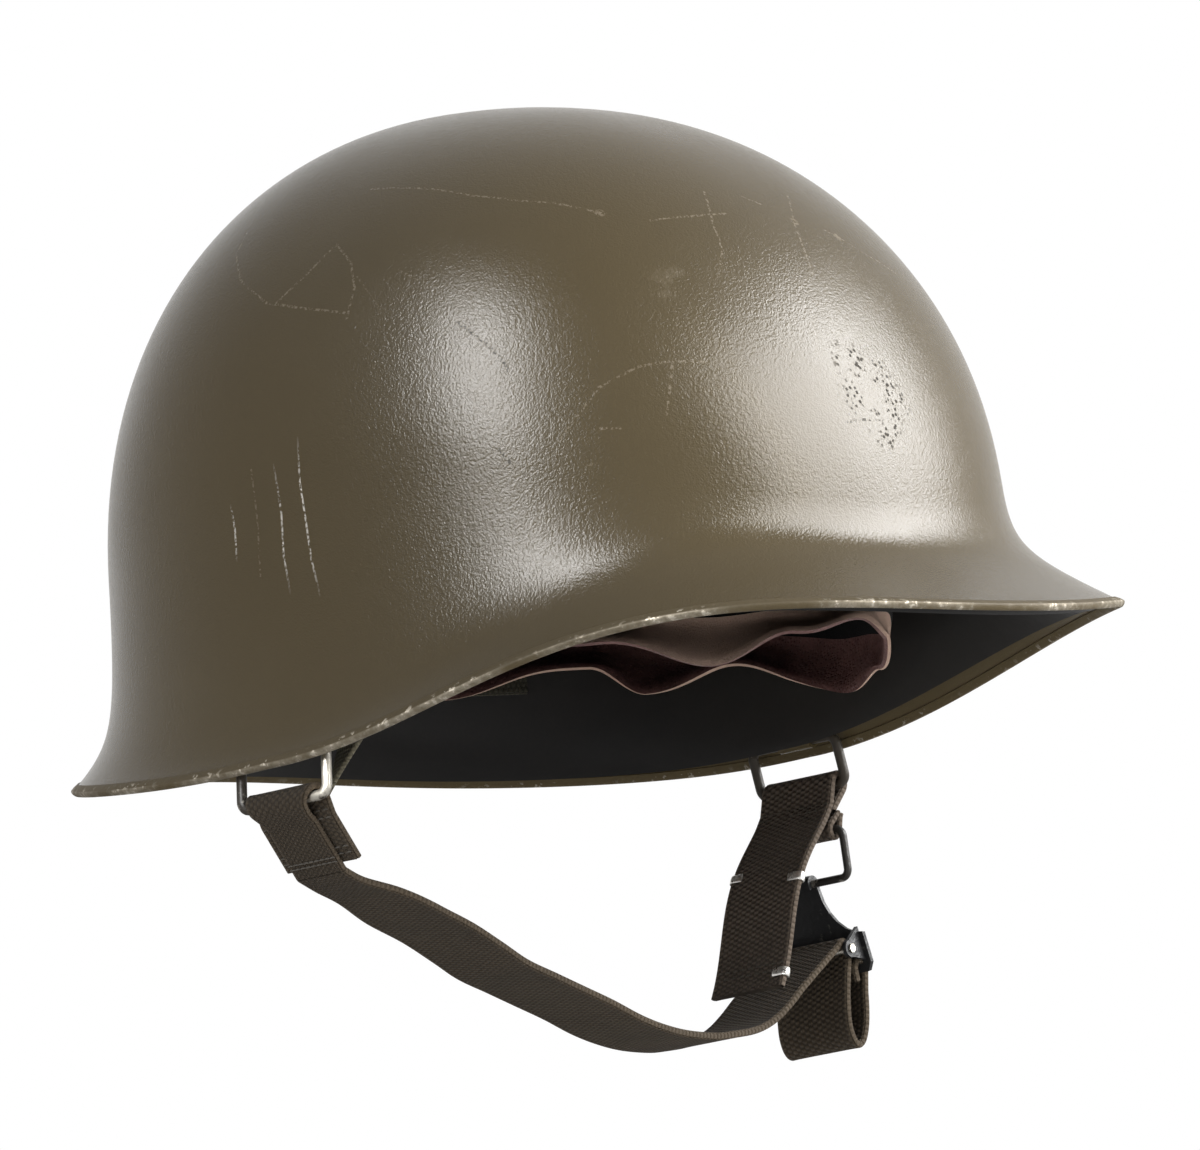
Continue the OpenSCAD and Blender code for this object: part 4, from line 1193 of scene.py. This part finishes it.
    def path(self) -> dict[str, Array]:
        """Return the chin strap's path from the right fold to its end at the buckle."""
        bar = self.bar() * [-1, 1]
        leg, side = self.legs(-1)
        low, lowest = self.low_points(), np.array(self.lowest)
        start = bar + leg * (self.tail + self.throat / 4) - side * (self.thick + self.gap) / 2
        end = low["buckle"] + self.bar_turn * aim(150)
        run = [start + (lowest - start) * share for share in np.array(self.fall)]
        run += [lowest + (end - lowest) * share for share in np.array(self.rise)]
        across, down = self.loop_size
        hangs = [low["buckle"] + np.array([self.bar_turn + across * s, -down * d])
                 for s, d in self.loop]
        foot = low["plate"] + low["way"] * (self.plate_length - self.foot_edge)
        return {
            "fold": self.fold(bar, leg, side, self.tail, self.tail),
            "run": smooth_path(run, 10),
            "loop": np.vstack([
                arc(low["buckle"], self.bar_turn, 130, 0, 12), smooth_path(hangs, 8),
                arc(foot, self.foot_turn, -16, 194, 16),
                [foot + low["inward"] * self.foot_turn + low["way"] * 3]])}

    def ribbon(self, name: str, points: Array, thick: float) -> Ribbon:
        """Return webbing along points of x and height."""
        path = even_path(self.hang.web(points), self.step * MM)
        return Ribbon(name, path, self.hang.over(), self.width * MM, thick * MM)

    def build(self, repeat: Repeat) -> None:
        """Make the webbing, wires, stitches and buckle."""
        fold = self._strap()
        dark = Weave("flap_weave", (0.140, 0.110, 0.084), (0.062, 0.050, 0.040)).material()
        leg, side = self.legs(1)
        bent = self.fold(self.bar(), leg, side, *self.flap_ends, self.flap_bow)
        flap = self.ribbon("cheek_flap_web", bent, self.thick)
        tab = self.ribbon("release_tab_web", self._tab(leg, side), self.tab_thick)
        for web, node in ((flap, "cheek_flap"), (tab, "release_tab")):
            dress(web.build(), dark, "strap_web", "left_strap", node)
        self._wires()
        self._stitches(repeat, fold, flap, tab)
        dress_nodes(BlackEnamel().material(), "hook_plate")
        dress_nodes(WornWire("buckle_steel", bare=0.42, roughness=0.3).material(), "buckle_bar")
        self._clips(repeat, flap)

    def _strap(self) -> Ribbon:
        """Make the chin strap in spans, each on one body or on none where it spans two, and return
        its fold.
        """
        web = Weave("strap_weave", (0.092, 0.071, 0.049), (0.040, 0.032, 0.024)).material()
        parts = self.path()
        line = even_path(self.hang.web(np.vstack(list(parts.values()))), self.step * MM)
        run = lengths(line)
        ends = self.hang.web(parts["run"][[0, -1]])
        first, last = (int(np.argmin(np.linalg.norm(line - end, axis=1))) for end in ends)
        cuts = [first + int(np.argmax(line[first:last, 0] > x * MM)) for x in self.seams]
        cuts = [0, first, *cuts, last, len(line) - 1]
        names = ["strap_fold", *(f"strap_run_{k}" for k in range(1, 6)), "strap_loop"]
        riders = [self.bodies[max(k - 1, 0):k + 1] for k in range(len(names))]
        wide, shift = self._pinch(line, run)
        line = line + self.hang.over() * shift[:, None]
        ribbons = []
        for name, a, b, pair in zip(names, cuts[:-1], cuts[1:], riders):
            span = slice(a, b + 1)
            ribbons.append(Ribbon(name, line[span], self.hang.over(), wide[span],
                                  self.thick * MM, run[a]))
            body = pair[0] if len(pair) == 1 else ""
            made = dress(ribbons[-1].build(), web, "strap_web", body, "chin_strap")
            if not body:
                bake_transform(made)
        return ribbons[0]

    def _pinch(self, line: Array, run: Array) -> tuple[Array, Array]:
        """Return the strap's width and its shift backwards at each point, in metres."""
        bar = self.hang.web(self.bar() * [-1, 1])
        past = run - run[np.where(np.linalg.norm(line - bar, axis=1) < 4 * MM)[0][-1]]
        grip = np.interp(past / MM, *np.array(self.grip).T)
        grip = grip * grip * (3 - 2 * grip)
        return self.width * MM * (1 - self.narrowed * grip), self.moved_back * MM * grip

    def _clips(self, repeat: Repeat, flap: Ribbon) -> None:
        """Crimp clips over the edges of the flap, by their side and their distance from its end."""
        normal, across = flap.faces()
        run = flap.run()
        rows = [int(np.argmin(np.abs(run - run[-1] + up * MM))) for _, up in self.clips]
        sides = np.array([[side] for side, _ in self.clips])
        ways = across[rows] * sides
        places = flap.path[rows] + ways * (self.width - self.thick) / 2 * MM
        steel = WornWire("clip_steel", (0.42, 0.40, 0.36), (0.8, 0.78, 0.74), 0.42, 0.28).material()
        piece = SheetClip().build()
        made = repeat.place("flap_sheet_clips", piece, places, unit(ways), normal[rows], steel)
        dress(made, steel, "bright_steel", "left_strap", "flap_clips")

    def _tab_stand(self) -> float:
        """Return how far the tab's middle lies out from the flap's."""
        return self.thick + 2 * self.gap + self.tab_thick

    def _tab(self, leg: Array, side: Array) -> Array:
        """Return the path of the tab that is sewn outside the flap and holds the ring."""
        top = self.low_points()["top"]
        half = side * (self.tab_thick + self.gap) / 2
        angle = math.degrees(math.atan2(side[1], side[0]))
        start = self.bar() + leg * self.tab_start + side * self._tab_stand()
        throat = top - leg * 2 * self.tab_radius
        bend = arc(top, self.tab_radius, angle + self.wrap, angle - 180 - self.wrap)
        return np.vstack([[start + half, throat + half], bend, [throat - half, start - half]])

    def _wires(self) -> None:
        """Make the bails and the ring."""
        t, bar = math.radians(self.lean), self.bar()
        y, z = rounded_loop(self.bail_width, self.drop, self.bail_corner)
        path = self.hang.square(self.hang.pivot[0] - z * math.sin(t), y, z * math.cos(t), bar[1])
        # Two spots on the right bail's front leg get more bare steel, which makes that leg lighter
        # than its rear leg
        front_leg = path[np.argsort(path[:, 1])[[4, 14]]] * [-1, 1, 1]
        bare_spots = tuple(tuple(place) for place in front_leg.tolist())
        for side, label, bare, places in ((1, "left", 0.68, ()), (-1, "right", 0.62, bare_spots)):
            wire = wire_loop(f"{label}_bail_wire", path * [side, 1, 1], self.wire / 2 * MM)
            finish = WornWire(f"{label}_bail_paint", bare=bare, bare_spots=places).material()
            dress(wire, finish, "wire_paint", f"{label}_bail_body", f"{label}_bail")
        x, level = self.low_points()["top"]
        y, z = rounded_loop(*self.ring_size, self.ring_corner)
        path = self.hang.square(x, y, z + level, level)
        ring = wire_loop("release_ring_wire", path, self.ring_wire / 2 * MM)
        dull = WornWire("ring_wire", (0.03, 0.027, 0.023), bare=0.66).material()
        dress(ring, dull, "bright_steel", "ring", "release_ring")

    def _stitches(self, repeat: Repeat, fold: Ribbon, flap: Ribbon, tab: Ribbon) -> None:
        """Sew the folds with rows of thread."""
        thread = Thread("strap_thread", (0.10, 0.082, 0.058)).material()
        piece = thread_piece(1.9 * MM, 0.26 * MM)
        over = np.linspace(-10.6, 10.6, 9) * MM
        end = fold.run()[-1] / MM
        seams = (("fold_stitches", fold, [3, 5, 15, 17, end - 3.2, end - 5.2], "right_bail_body"),
                 ("flap_stitches", flap, [2, 4, 24, 26, 74, 76], "left_strap"),
                 ("tab_stitches", tab, [2, 4], "left_strap"))
        for name, ribbon, rows, body in seams:
            both = [ribbon.tack([row * MM for row in rows], over, face) for face in (-1, 1)]
            places, ways = (np.vstack(found) for found in zip(*both))
            outs = unit(np.cross(ways, np.cross([0.72, 0, 0.69], ways)))
            made = repeat.place(name, piece, places, ways, outs, thread, 0.12)
            dress(made, thread, "strap_web", body)


@dataclass(frozen=True)
class Sweatband:
    """The leather band that hangs in scallops from wire clips, in millimetres and degrees."""

    half_width: float = 80.0
    half_length: float = 99.0
    top: float = 70.0
    thick: float = 1.8
    # How far the fold and the foot stand in from the oval, and the side that the leather leans to
    lean: float = 10.0
    lean_side: float = -52.0
    bend: float = 5.0
    # How far the leather comes forward at the brow, and the hang that this takes
    forward: float = 12.0
    forward_hang: float = 36.0
    # Ripples round the band: height, number and phase
    ripples: tuple[tuple[float, int, float], ...] = ((0.5, 9, 0.6), (0.3, 17, 2.0))
    # Heights of the fold and the foot round the band, as shares of the top
    fold: Table = (
        (-180, 0.45), (-120, 0.47), (-60, 0.49), (-31, 0.45), (-12, 0.47), (4, 0.54), (18, 0.45),
        (35, 0.37), (52, 0.38), (77, 0.43), (96, 0.4), (110, 0.47), (135, 0.49), (160, 0.44),
        (180, 0.45))
    foot: Table = (
        (-180, 0.35), (-120, 0.33), (-90, 0.41), (-52, 0.43), (-33, 0.31), (-16, 0.43), (4, 0.46),
        (20, 0.4), (39, 0.29), (53, 0.23), (85, 0.37), (103, 0.3), (114, 0.42), (145, 0.33),
        (180, 0.35))
    # Share of the leather's height, from its top, painted near-black on both faces as the shade the
    # band lies in
    painted_shade_share: float = 0.46
    seams: tuple[tuple[str, float], ...] = (("upper", 0.06), ("lower", 0.17))
    stitches: int = 190
    clips: int = 12
    clip_stand: float = 1.5
    clip_wire: float = 0.55

    def _height(self, table: Table, a: Array) -> Array:
        """Return the height of an edge of the leather, eased between the table's angles."""
        x, y = np.array(table).T
        a = (a + 180) % 360 - 180
        i = np.clip(np.searchsorted(x, a, side="right") - 1, 0, len(x) - 2)
        t = (1 - np.cos(math.pi * (a - x[i]) / (x[i + 1] - x[i]))) / 2
        return (y[i] + (y[i + 1] - y[i]) * t) * self.top

    def _ring(self, a: Array, inward: float, over: float, z: Array) -> Array:
        """Return an oval of points, drawn in and moved over to the side of the lean."""
        ring = oval(np.radians(a), self.half_width - inward, self.half_length - inward, z)
        return ring + over * oval(math.radians(self.lean_side), 1.0, 1.0)

    def sheet(self, a: Array, v: Array) -> Array:
        """Return the leather's middle for angles in degrees and shares down from the top."""
        a, v = np.broadcast_arrays(a, v)
        rings = [self._ring(a, 0.0, 0.0, np.full_like(a, self.top, float)),
                 self._ring(a, self.lean, -self.lean, self._height(self.fold, a)),
                 self._ring(a, self.lean, self.lean, self._height(self.foot, a))]
        shares = [(1 - v) ** 2, 2 * self.bend * v * (1 - v), v * v]
        point = sum(ring * share[..., None] for ring, share in zip(rings, shares))
        point = point / sum(shares)[..., None]
        t = np.radians(a)
        for high, count, phase in self.ripples:
            point[..., 2] += high * np.sin(count * t + phase) * v
        hang = np.clip((self.top - point[..., 2]) / self.forward_hang, 0, 1)
        point[..., 1] -= self.forward * np.maximum(np.cos(t), 0) ** 2 * hang
        return point * MM

    def build(self, repeat: Repeat) -> None:
        """Make the leather, its stitching and its clips."""
        a = np.linspace(-180, 180, 480, endpoint=False)[None, :]
        v = np.linspace(0, 1, 41)[:, None]
        middle = self.sheet(a, v)
        out = unit(np.cross(self.sheet(a, v + 0.002) - middle, self.sheet(a + 0.2, v) - middle))
        half = self.thick / 2 * MM
        foot = middle[-1] + (middle[-1] - middle[-2]) * 0.35
        lid = middle[0] + np.array([0, 0, 0.4]) * MM
        front, back = middle + out * half, middle - out * half
        points = np.concatenate([front, foot[None], back[::-1], lid[None]])
        made = grid_object("sweatband_leather", points, closed_rows=True, closed_columns=True)
        # Both leathers are the band's tan suede and red-brown grain, made lighter than the leather
        # is: painted light for the little light that reaches inside the liner
        suede = Leather(Hide.SUEDE, (0.640, 0.450, 0.350), (0.420, 0.285, 0.220)).material()
        grain = Leather(Hide.GRAIN, (0.200, 0.100, 0.088), (0.090, 0.046, 0.041)).material()
        # A near-black webbing finish on the band's upper part: painted shade, where the leather
        # lies in the liner's shadow
        painted_shade_sheet = Weave("band_painted_shade", (0.010, 0.0095, 0.0090), (0.006, 0.006, 0.006)).material()
        dress(made, suede, "leather", "liner", "sweatband")
        made.data.materials.append(grain)
        made.data.materials.append(painted_shade_sheet)
        rows = np.arange(len(made.data.polygons)) // a.size
        last = len(v) - 1
        # Rows near the top of both faces take the painted shade
        painted_shade_rows = self.painted_shade_share * last
        above = (rows < painted_shade_rows) | (rows > 2 * last + 2 - painted_shade_rows)
        zones = np.where(above, 2, np.where(rows > last, 1, 0))
        made.data.polygons.foreach_set("material_index", zones.tolist())
        self._stitches(repeat, half + 0.05 * MM)
        self._clips(repeat)

    def _stitches(self, repeat: Repeat, stand: float) -> None:
        """Sew two rows round the inner side of the leather."""
        thread = Thread("sweatband_thread", (0.20, 0.17, 0.12)).material()
        a = np.linspace(-180, 180, self.stitches, endpoint=False)
        for label, share in self.seams:
            places = self.sheet(a, share)
            ways = unit(self.sheet(a + 0.5, share) - places)
            inner = unit(np.cross(ways, self.sheet(a, share + 0.02) - places))
            inner = inner * -np.sign((inner * places * [1, 1, 0]).sum(-1, keepdims=True))
            seam = repeat.place(f"sweatband_{label}_stitches", thread_piece(2.0 * MM, 0.22 * MM),
                                places + inner * stand, ways, inner, thread, 0.1)
            dress(seam, thread, "leather", "liner")

    def _clips(self, repeat: Repeat) -> None:
        """Make the wire clips that join the sweatband to the head band."""
        y, z = rounded_loop(7.0, 9.0, 1.6, 6)
        loop = np.stack([y, np.zeros_like(y), z], -1) * MM
        ahead = unit(np.roll(loop, -1, 0) - np.roll(loop, 1, 0))
        side = np.cross(ahead, [0.0, 1.0, 0.0])
        turn = np.linspace(0, math.tau, 8, endpoint=False)[:, None]
        around = np.cos(turn) * [0.0, 1.0, 0.0] + np.sin(turn) * side[:, None]
        wire = loop[:, None] + self.clip_wire * MM * around
        piece = small_piece("wire_clip", wire[:, :, [0, 2, 1]] * [1, 1, -1], True)
        t = math.tau * (np.arange(self.clips) + 0.5) / self.clips
        outs = unit(oval(t, 1 / self.half_width, 1 / self.half_length))
        size = self.half_width + self.clip_stand, self.half_length + self.clip_stand
        places, ways = oval(t, *size, self.top) * MM, np.cross([0.0, 0.0, 1.0], outs)
        steel = WornWire("sweatband_clip_steel", (0.10, 0.095, 0.085), bare=0.45).material()
        made = repeat.place("sweatband_wire_clips", piece, places, ways, outs, steel)
        dress(made, steel, "bright_steel", "liner", "sweatband_clips")


@dataclass(frozen=True)
class Liner:
    """The liner with its suspension webbing, in millimetres and degrees."""

    form: Pressing = Pressing()
    thick: float = 1.4
    width: float = 22.0
    # The crown straps' anchor height, how far they lie on the wall, and their room to it
    anchor: float = 88.0
    reach: float = 9.0
    standoff: float = 2.4
    seating: float = 0.2
    drop: float = 25.6
    stack: float = 2.2
    # The head band, and the heights of the webs that hang it from the wall
    band_half_width: float = 82.6
    band_half_length: float = 101.6
    band_height: float = 66.0
    band_width: float = 20.0
    hanger_angles: tuple[int, ...] = (30, 90, 150, 210, 270, 330)
    hanger_heights: tuple[float, ...] = (58.0, 66.0, 72.5, 75.0)
    hanger_top: float = 77.4
    hanger_stand: float = 1.5
    # The nape strap's ends and middle, and one half as shares of x and steps back
    nape_angle: float = 129.6
    nape_height: float = 35.0
    nape_middle: float = 31.0
    nape_half: Table = ((1, 0), (0.72, 12.4), (0.5, 24.8))
    # The side strap's place on the wall, its path in y and z, its widths and its turn
    side_angle: float = 285.0
    side_path: Table = ((-24.2, 31), (-22, 23), (-15, 12), (-8, 1.5), (-1.5, -9))
    side_widths: tuple[float, float] = (14.0, 6.5)
    side_thick: float = 1.3
    side_turn: float = 62.0

    def _wall(self, degrees: float, z: float, depth: float) -> Array:
        """Return the place a depth inside the liner's inner wall at a height."""
        a = np.array(math.radians(degrees))
        u = np.array(self.form.crown_u(float(a), z, 1))
        place = self.form.inside(a, u, 1, self.form.liner_wall + depth)
        return place + np.array([0, 0, min(0.0, z - float(self.form.turn(a)))]) * MM

    def crown_strap(self, degrees: float, level: int) -> Ribbon:
        """Return a strap from one anchor over the head to the opposite one."""
        near, far = self._wall(degrees, self.anchor, 0), self._wall(degrees + 180, self.anchor, 0)
        way = unit((near - far) * [1, 1, 0])
        depth, drop = self.standoff + self.thick / 2, self.drop - level * self.stack

        def flat(p: Array) -> Array:
            """Return a point moved into the strap's upright plane."""
            return far * [1, 1, 0] + way * ((p - far) @ way) + np.array([0, 0, p[2]])

        def end(b: float) -> list[Array]:
            """Return the strap's end at an anchor and its rise to the crown."""
            a = math.radians(b)
            low = self.form.crown_u(a, self.anchor + self.reach, 1)
            points = [self._wall(b, self.anchor + k * self.reach, depth) for k in (-1, 0, 1)]
            for s in (0.2, 0.4, 0.6, 0.8):
                sunk = self.form.liner_wall + depth + (drop - depth) * math.sin(s * math.pi / 2)
                points.append(self.form.inside(np.array(a), np.array(low * (1 - s)), 1, sunk))
            return [flat(p) for p in points]

        crown = [0, self.form.crown_back, self.form.top(1) - self.form.liner_wall - drop]
        points = end(degrees + 180) + [flat(np.array(crown) * MM)] + end(degrees)[::-1]
        name = ("front", "middle", "rear")[level] + "_crown_webbing"
        return self._web(name, smooth_path(points, 10), 1.2, np.array([way[1], -way[0], 0.0]))

    def _web(self, name: str, path: Array, step: float, across: Array) -> Ribbon:
        """Return webbing of the usual width along a path, with points a step apart."""
        return Ribbon(name, even_path(path, step * MM), across, self.width * MM, self.thick * MM)

    def build(self, repeat: Repeat) -> None:
        """Make the liner and all that hangs in it."""
        shell = self.form.shell("liner_body_skin", 1, self.form.liner_wall, 288, 40)
        dress(shell, LinerBody().material(), "liner_body", "liner", "liner_shell")
        weave = Weave("liner_weave", (0.060, 0.056, 0.040), (0.026, 0.025, 0.019), half_width=0.011)
        web = weave.material()
        for level, degrees in enumerate(self.hanger_angles[:3]):
            ribbon = self.crown_strap(degrees, level)
            node = ribbon.name.replace("webbing", "strap")
            dress(ribbon.build(), web, "liner_web", "liner", node)
        self._bands(web)
        self._nape(web)
        self._side()
        Sweatband().build(repeat)
        steel = BlackEnamel("liner_hardware", (0.045, 0.042, 0.036), (0.16, 0.15, 0.13)).material()
        dress_nodes(steel, "liner_rivets", "a_washers", "side_strap_stud")

    def _bands(self, web: bpy.types.Material) -> None:
        """Make the head band and the webs that hang it from the wall."""
        t = np.linspace(0, math.tau, 480, endpoint=False)
        size = self.band_half_width, self.band_half_length
        path = oval(t, *size, self.band_height) * MM
        band = Ribbon("head_band_webbing", path, np.array([0, 0, 1.0]), self.band_width * MM,
                      self.thick * MM, closed=True)
        dress(band.build(), web, "liner_web", "liner", "suspension_band")
        for degrees in self.hanger_angles:
            a = math.radians(degrees)
            out = unit(oval(a, 1 / Sweatband.half_width, 1 / Sweatband.half_length))
            wall = self._wall(degrees, self.hanger_top, self.standoff + self.thick / 2)
            stand = out * self.hanger_stand
            points = [(oval(a, *size, z) + stand) * MM for z in self.hanger_heights]
            points[-1] = (points[-1] + wall) / 2
            hanger = self._web(f"hanger_webbing_{degrees}", smooth_path(points + [wall], 8), 1.0,
                               np.array([-out[1], out[0], 0]))
            dress(hanger.build(), web, "liner_web", "liner")

    def _nape(self, web: bpy.types.Material) -> None:
        """Make the webbing across the nape."""
        a = np.array(math.radians(self.nape_angle))
        depth = self.form.liner_wall + self.thick / 2 + self.seating
        x, y, _ = self.form.inside(a, np.array(1.0), 1, depth) / MM
        points = [(-x * share, y + back, self.nape_height) for share, back in self.nape_half]
        points.append((0, y + self.nape_middle, self.nape_height))
        points += [(-p[0], *p[1:]) for p in points[-2::-1]]
        strap = self._web("nape_webbing", smooth_path(points, 10) * MM, 1.2, np.array([0, 0, 1.0]))
        dress(strap.build(), web, "liner_web", "liner", "nape_strap")

    def _side(self) -> None:
        """Make the narrow strap that ties the liner to the chin strap, turning as it hangs."""
        a = np.array(math.radians(self.side_angle))
        depth = self.form.liner_wall + self.side_thick / 2 + self.seating
        x = self.form.inside(a, np.array(1.6), 1, depth)[0] / MM
        path = even_path(smooth_path([(x, y, z) for y, z in self.side_path], 12) * MM, 0.8 * MM)
        ahead = unit(np.gradient(path, axis=0))
        flat = unit(np.cross(ahead, [1.0, 0, 0]))
        share = np.linspace(0, 1, len(path))[:, None]
        turn = np.radians(self.side_turn) * share ** 1.5
        across = flat * np.cos(turn) + np.cross(ahead, flat) * np.sin(turn)
        width = np.interp(share[:, 0], (0, 1), self.side_widths) * MM
        strap = Ribbon("side_strap_webbing", path, across, width, self.side_thick * MM)
        pale = Weave("side_strap_weave", (0.155, 0.140, 0.098), (0.080, 0.074, 0.054),
                     half_width=self.side_widths[0] / 2 * MM)
        made = dress(strap.build(), pale.material(), "liner_web", "", "side_strap")
        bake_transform(made)


# The studio

@dataclass(frozen=True)
class Softbox:
    """A rectangular lamp that lights or only mirrors, by its direction and half angles."""

    name: str
    azimuth: float
    elevation: float
    half_width: float
    half_height: float
    strength: float
    gloss: bool = False
    distance: float = 2.2

    def build(self, centre: Array) -> None:
        """Put the lamp in the scene."""
        a, e = math.radians(self.azimuth), math.radians(self.elevation)
        way = np.array([math.sin(a) * math.cos(e), -math.cos(a) * math.cos(e), math.sin(e)])
        lamp = bpy.data.lights.new(self.name, "AREA")
        lamp.shape = "RECTANGLE"
        lamp.size = 2 * self.distance * math.tan(math.radians(self.half_width))
        lamp.size_y = 2 * self.distance * math.tan(math.radians(self.half_height))
        lamp.energy = self.strength * lamp.size * lamp.size_y * math.pi
        made = bpy.data.objects.new(self.name, lamp)
        bpy.context.scene.collection.objects.link(made)
        made.location = Vector(centre + way * self.distance)
        made.rotation_euler = Vector(way).to_track_quat("Z", "Y").to_euler()
        made.visible_diffuse, made.visible_glossy = not self.gloss, self.gloss


@dataclass(frozen=True)
class Studio:
    """The camera, lamps, background and floor."""

    azimuth: float = -52.336
    elevation: float = -2.635
    roll: float = -3.371
    distance: float = 3.22927
    focal: float = 12047.58
    target_right: float = 0.014936
    target_height: float = 0.050787
    picture_width: int = 1200
    floor_height: float = -0.125
    light: float = 0.12
    centre: Point = (0.0, 0.0, 0.08)
    lamps: tuple[Softbox, ...] = (
        Softbox("key_light", 20, 22, 30, 22, 4.6), Softbox("fill_light", -95, 20, 14, 26, 1.9),
        Softbox("right_softbox", 34, 26, 29, 17, 23.0, True),
        Softbox("left_softbox", -80, 31, 9, 24, 40.0, True))

    def build(self) -> None:
        """Set up all of the studio."""
        bpy.context.scene.view_settings.view_transform = "Standard"
        self._camera()
        for lamp in self.lamps:
            lamp.build(np.array(self.centre))
        self._world()
        self._floor()

    def _camera(self) -> None:
        """Place the camera where the photograph was taken from."""
        a, e, r = (math.radians(v) for v in (self.azimuth, self.elevation, self.roll))
        back = Vector((math.sin(a) * math.cos(e), -math.cos(a) * math.cos(e), math.sin(e)))
        right = Vector((math.cos(a), math.sin(a), 0.0))
        up = back.cross(right)
        x = right * math.cos(r) + up * math.sin(r)
        y = up * math.cos(r) - right * math.sin(r)
        camera = bpy.data.objects.new("camera", bpy.data.cameras.new("camera"))
        bpy.context.scene.collection.objects.link(camera)
        target = right * self.target_right + Vector((0, 0, self.target_height))
        place = target + back * self.distance
        camera.matrix_world = Matrix.Translation(place) @ Matrix((x, y, back)).transposed().to_4x4()
        camera.data.sensor_width = 36.0
        camera.data.lens = self.focal * camera.data.sensor_width / self.picture_width
        camera.data.clip_end = 100.0
        bpy.context.scene.camera = camera

    def _world(self) -> None:
        """Make the surroundings white to see and to mirror, and a plain grey light."""
        world = bpy.data.worlds.new("studio")
        bpy.context.scene.world = world
        world.use_nodes = True
        nodes, links = world.node_tree.nodes, world.node_tree.links
        nodes.clear()
        path, out = nodes.new("ShaderNodeLightPath"), nodes.new("ShaderNodeOutputWorld")
        back, blend = nodes.new("ShaderNodeBackground"), nodes.new("ShaderNodeMix")
        seen = path.outputs["Is Camera Ray"]
        for label in ("Is Glossy Ray", "Is Transmission Ray"):
            both = nodes.new("ShaderNodeMath")
            both.operation = "MAXIMUM"
            links.new(seen, both.inputs[0])
            links.new(path.outputs[label], both.inputs[1])
            seen = both.outputs[0]
        blend.inputs["A"].default_value = self.light
        blend.inputs["B"].default_value = 1.0
        back.inputs["Color"].default_value = (1.0, 1.0, 1.0, 1.0)
        links.new(seen, blend.inputs["Factor"])
        links.new(blend.outputs["Result"], back.inputs["Strength"])
        links.new(back.outputs[0], out.inputs["Surface"])

    def _floor(self) -> None:
        """Lay a plain pale floor below the object."""
        t = np.linspace(0, math.tau, 96, endpoint=False)
        rings = np.stack([oval(t, radius, radius, self.floor_height) for radius in (2.0, 1.0, 0.4)])
        middle = np.array([0, 0, self.floor_height])
        floor = grid_object("floor", rings, closed_columns=True, poles=((2, middle),))
        floor.data.flip_normals()
        s = Shader("pale_floor")
        cloud = s.noise(3.0, 3.0)
        s.set(Base_Color=s.mix(cloud, (0.78, 0.78, 0.78), (0.84, 0.84, 0.84)), Roughness=0.9)
        floor.data.materials.append(s.material)


def main() -> None:
    """Build the helmet and the studio, and log the faces of each dressed piece."""
    logging.basicConfig(level=logging.INFO, format="%(name)s: %(message)s")
    repeat = Repeat("place_copies")
    SteelShell().build()
    ChinStrap().build(repeat)
    Liner().build(repeat)
    Studio().build()


if __name__ == "__main__":
    main()
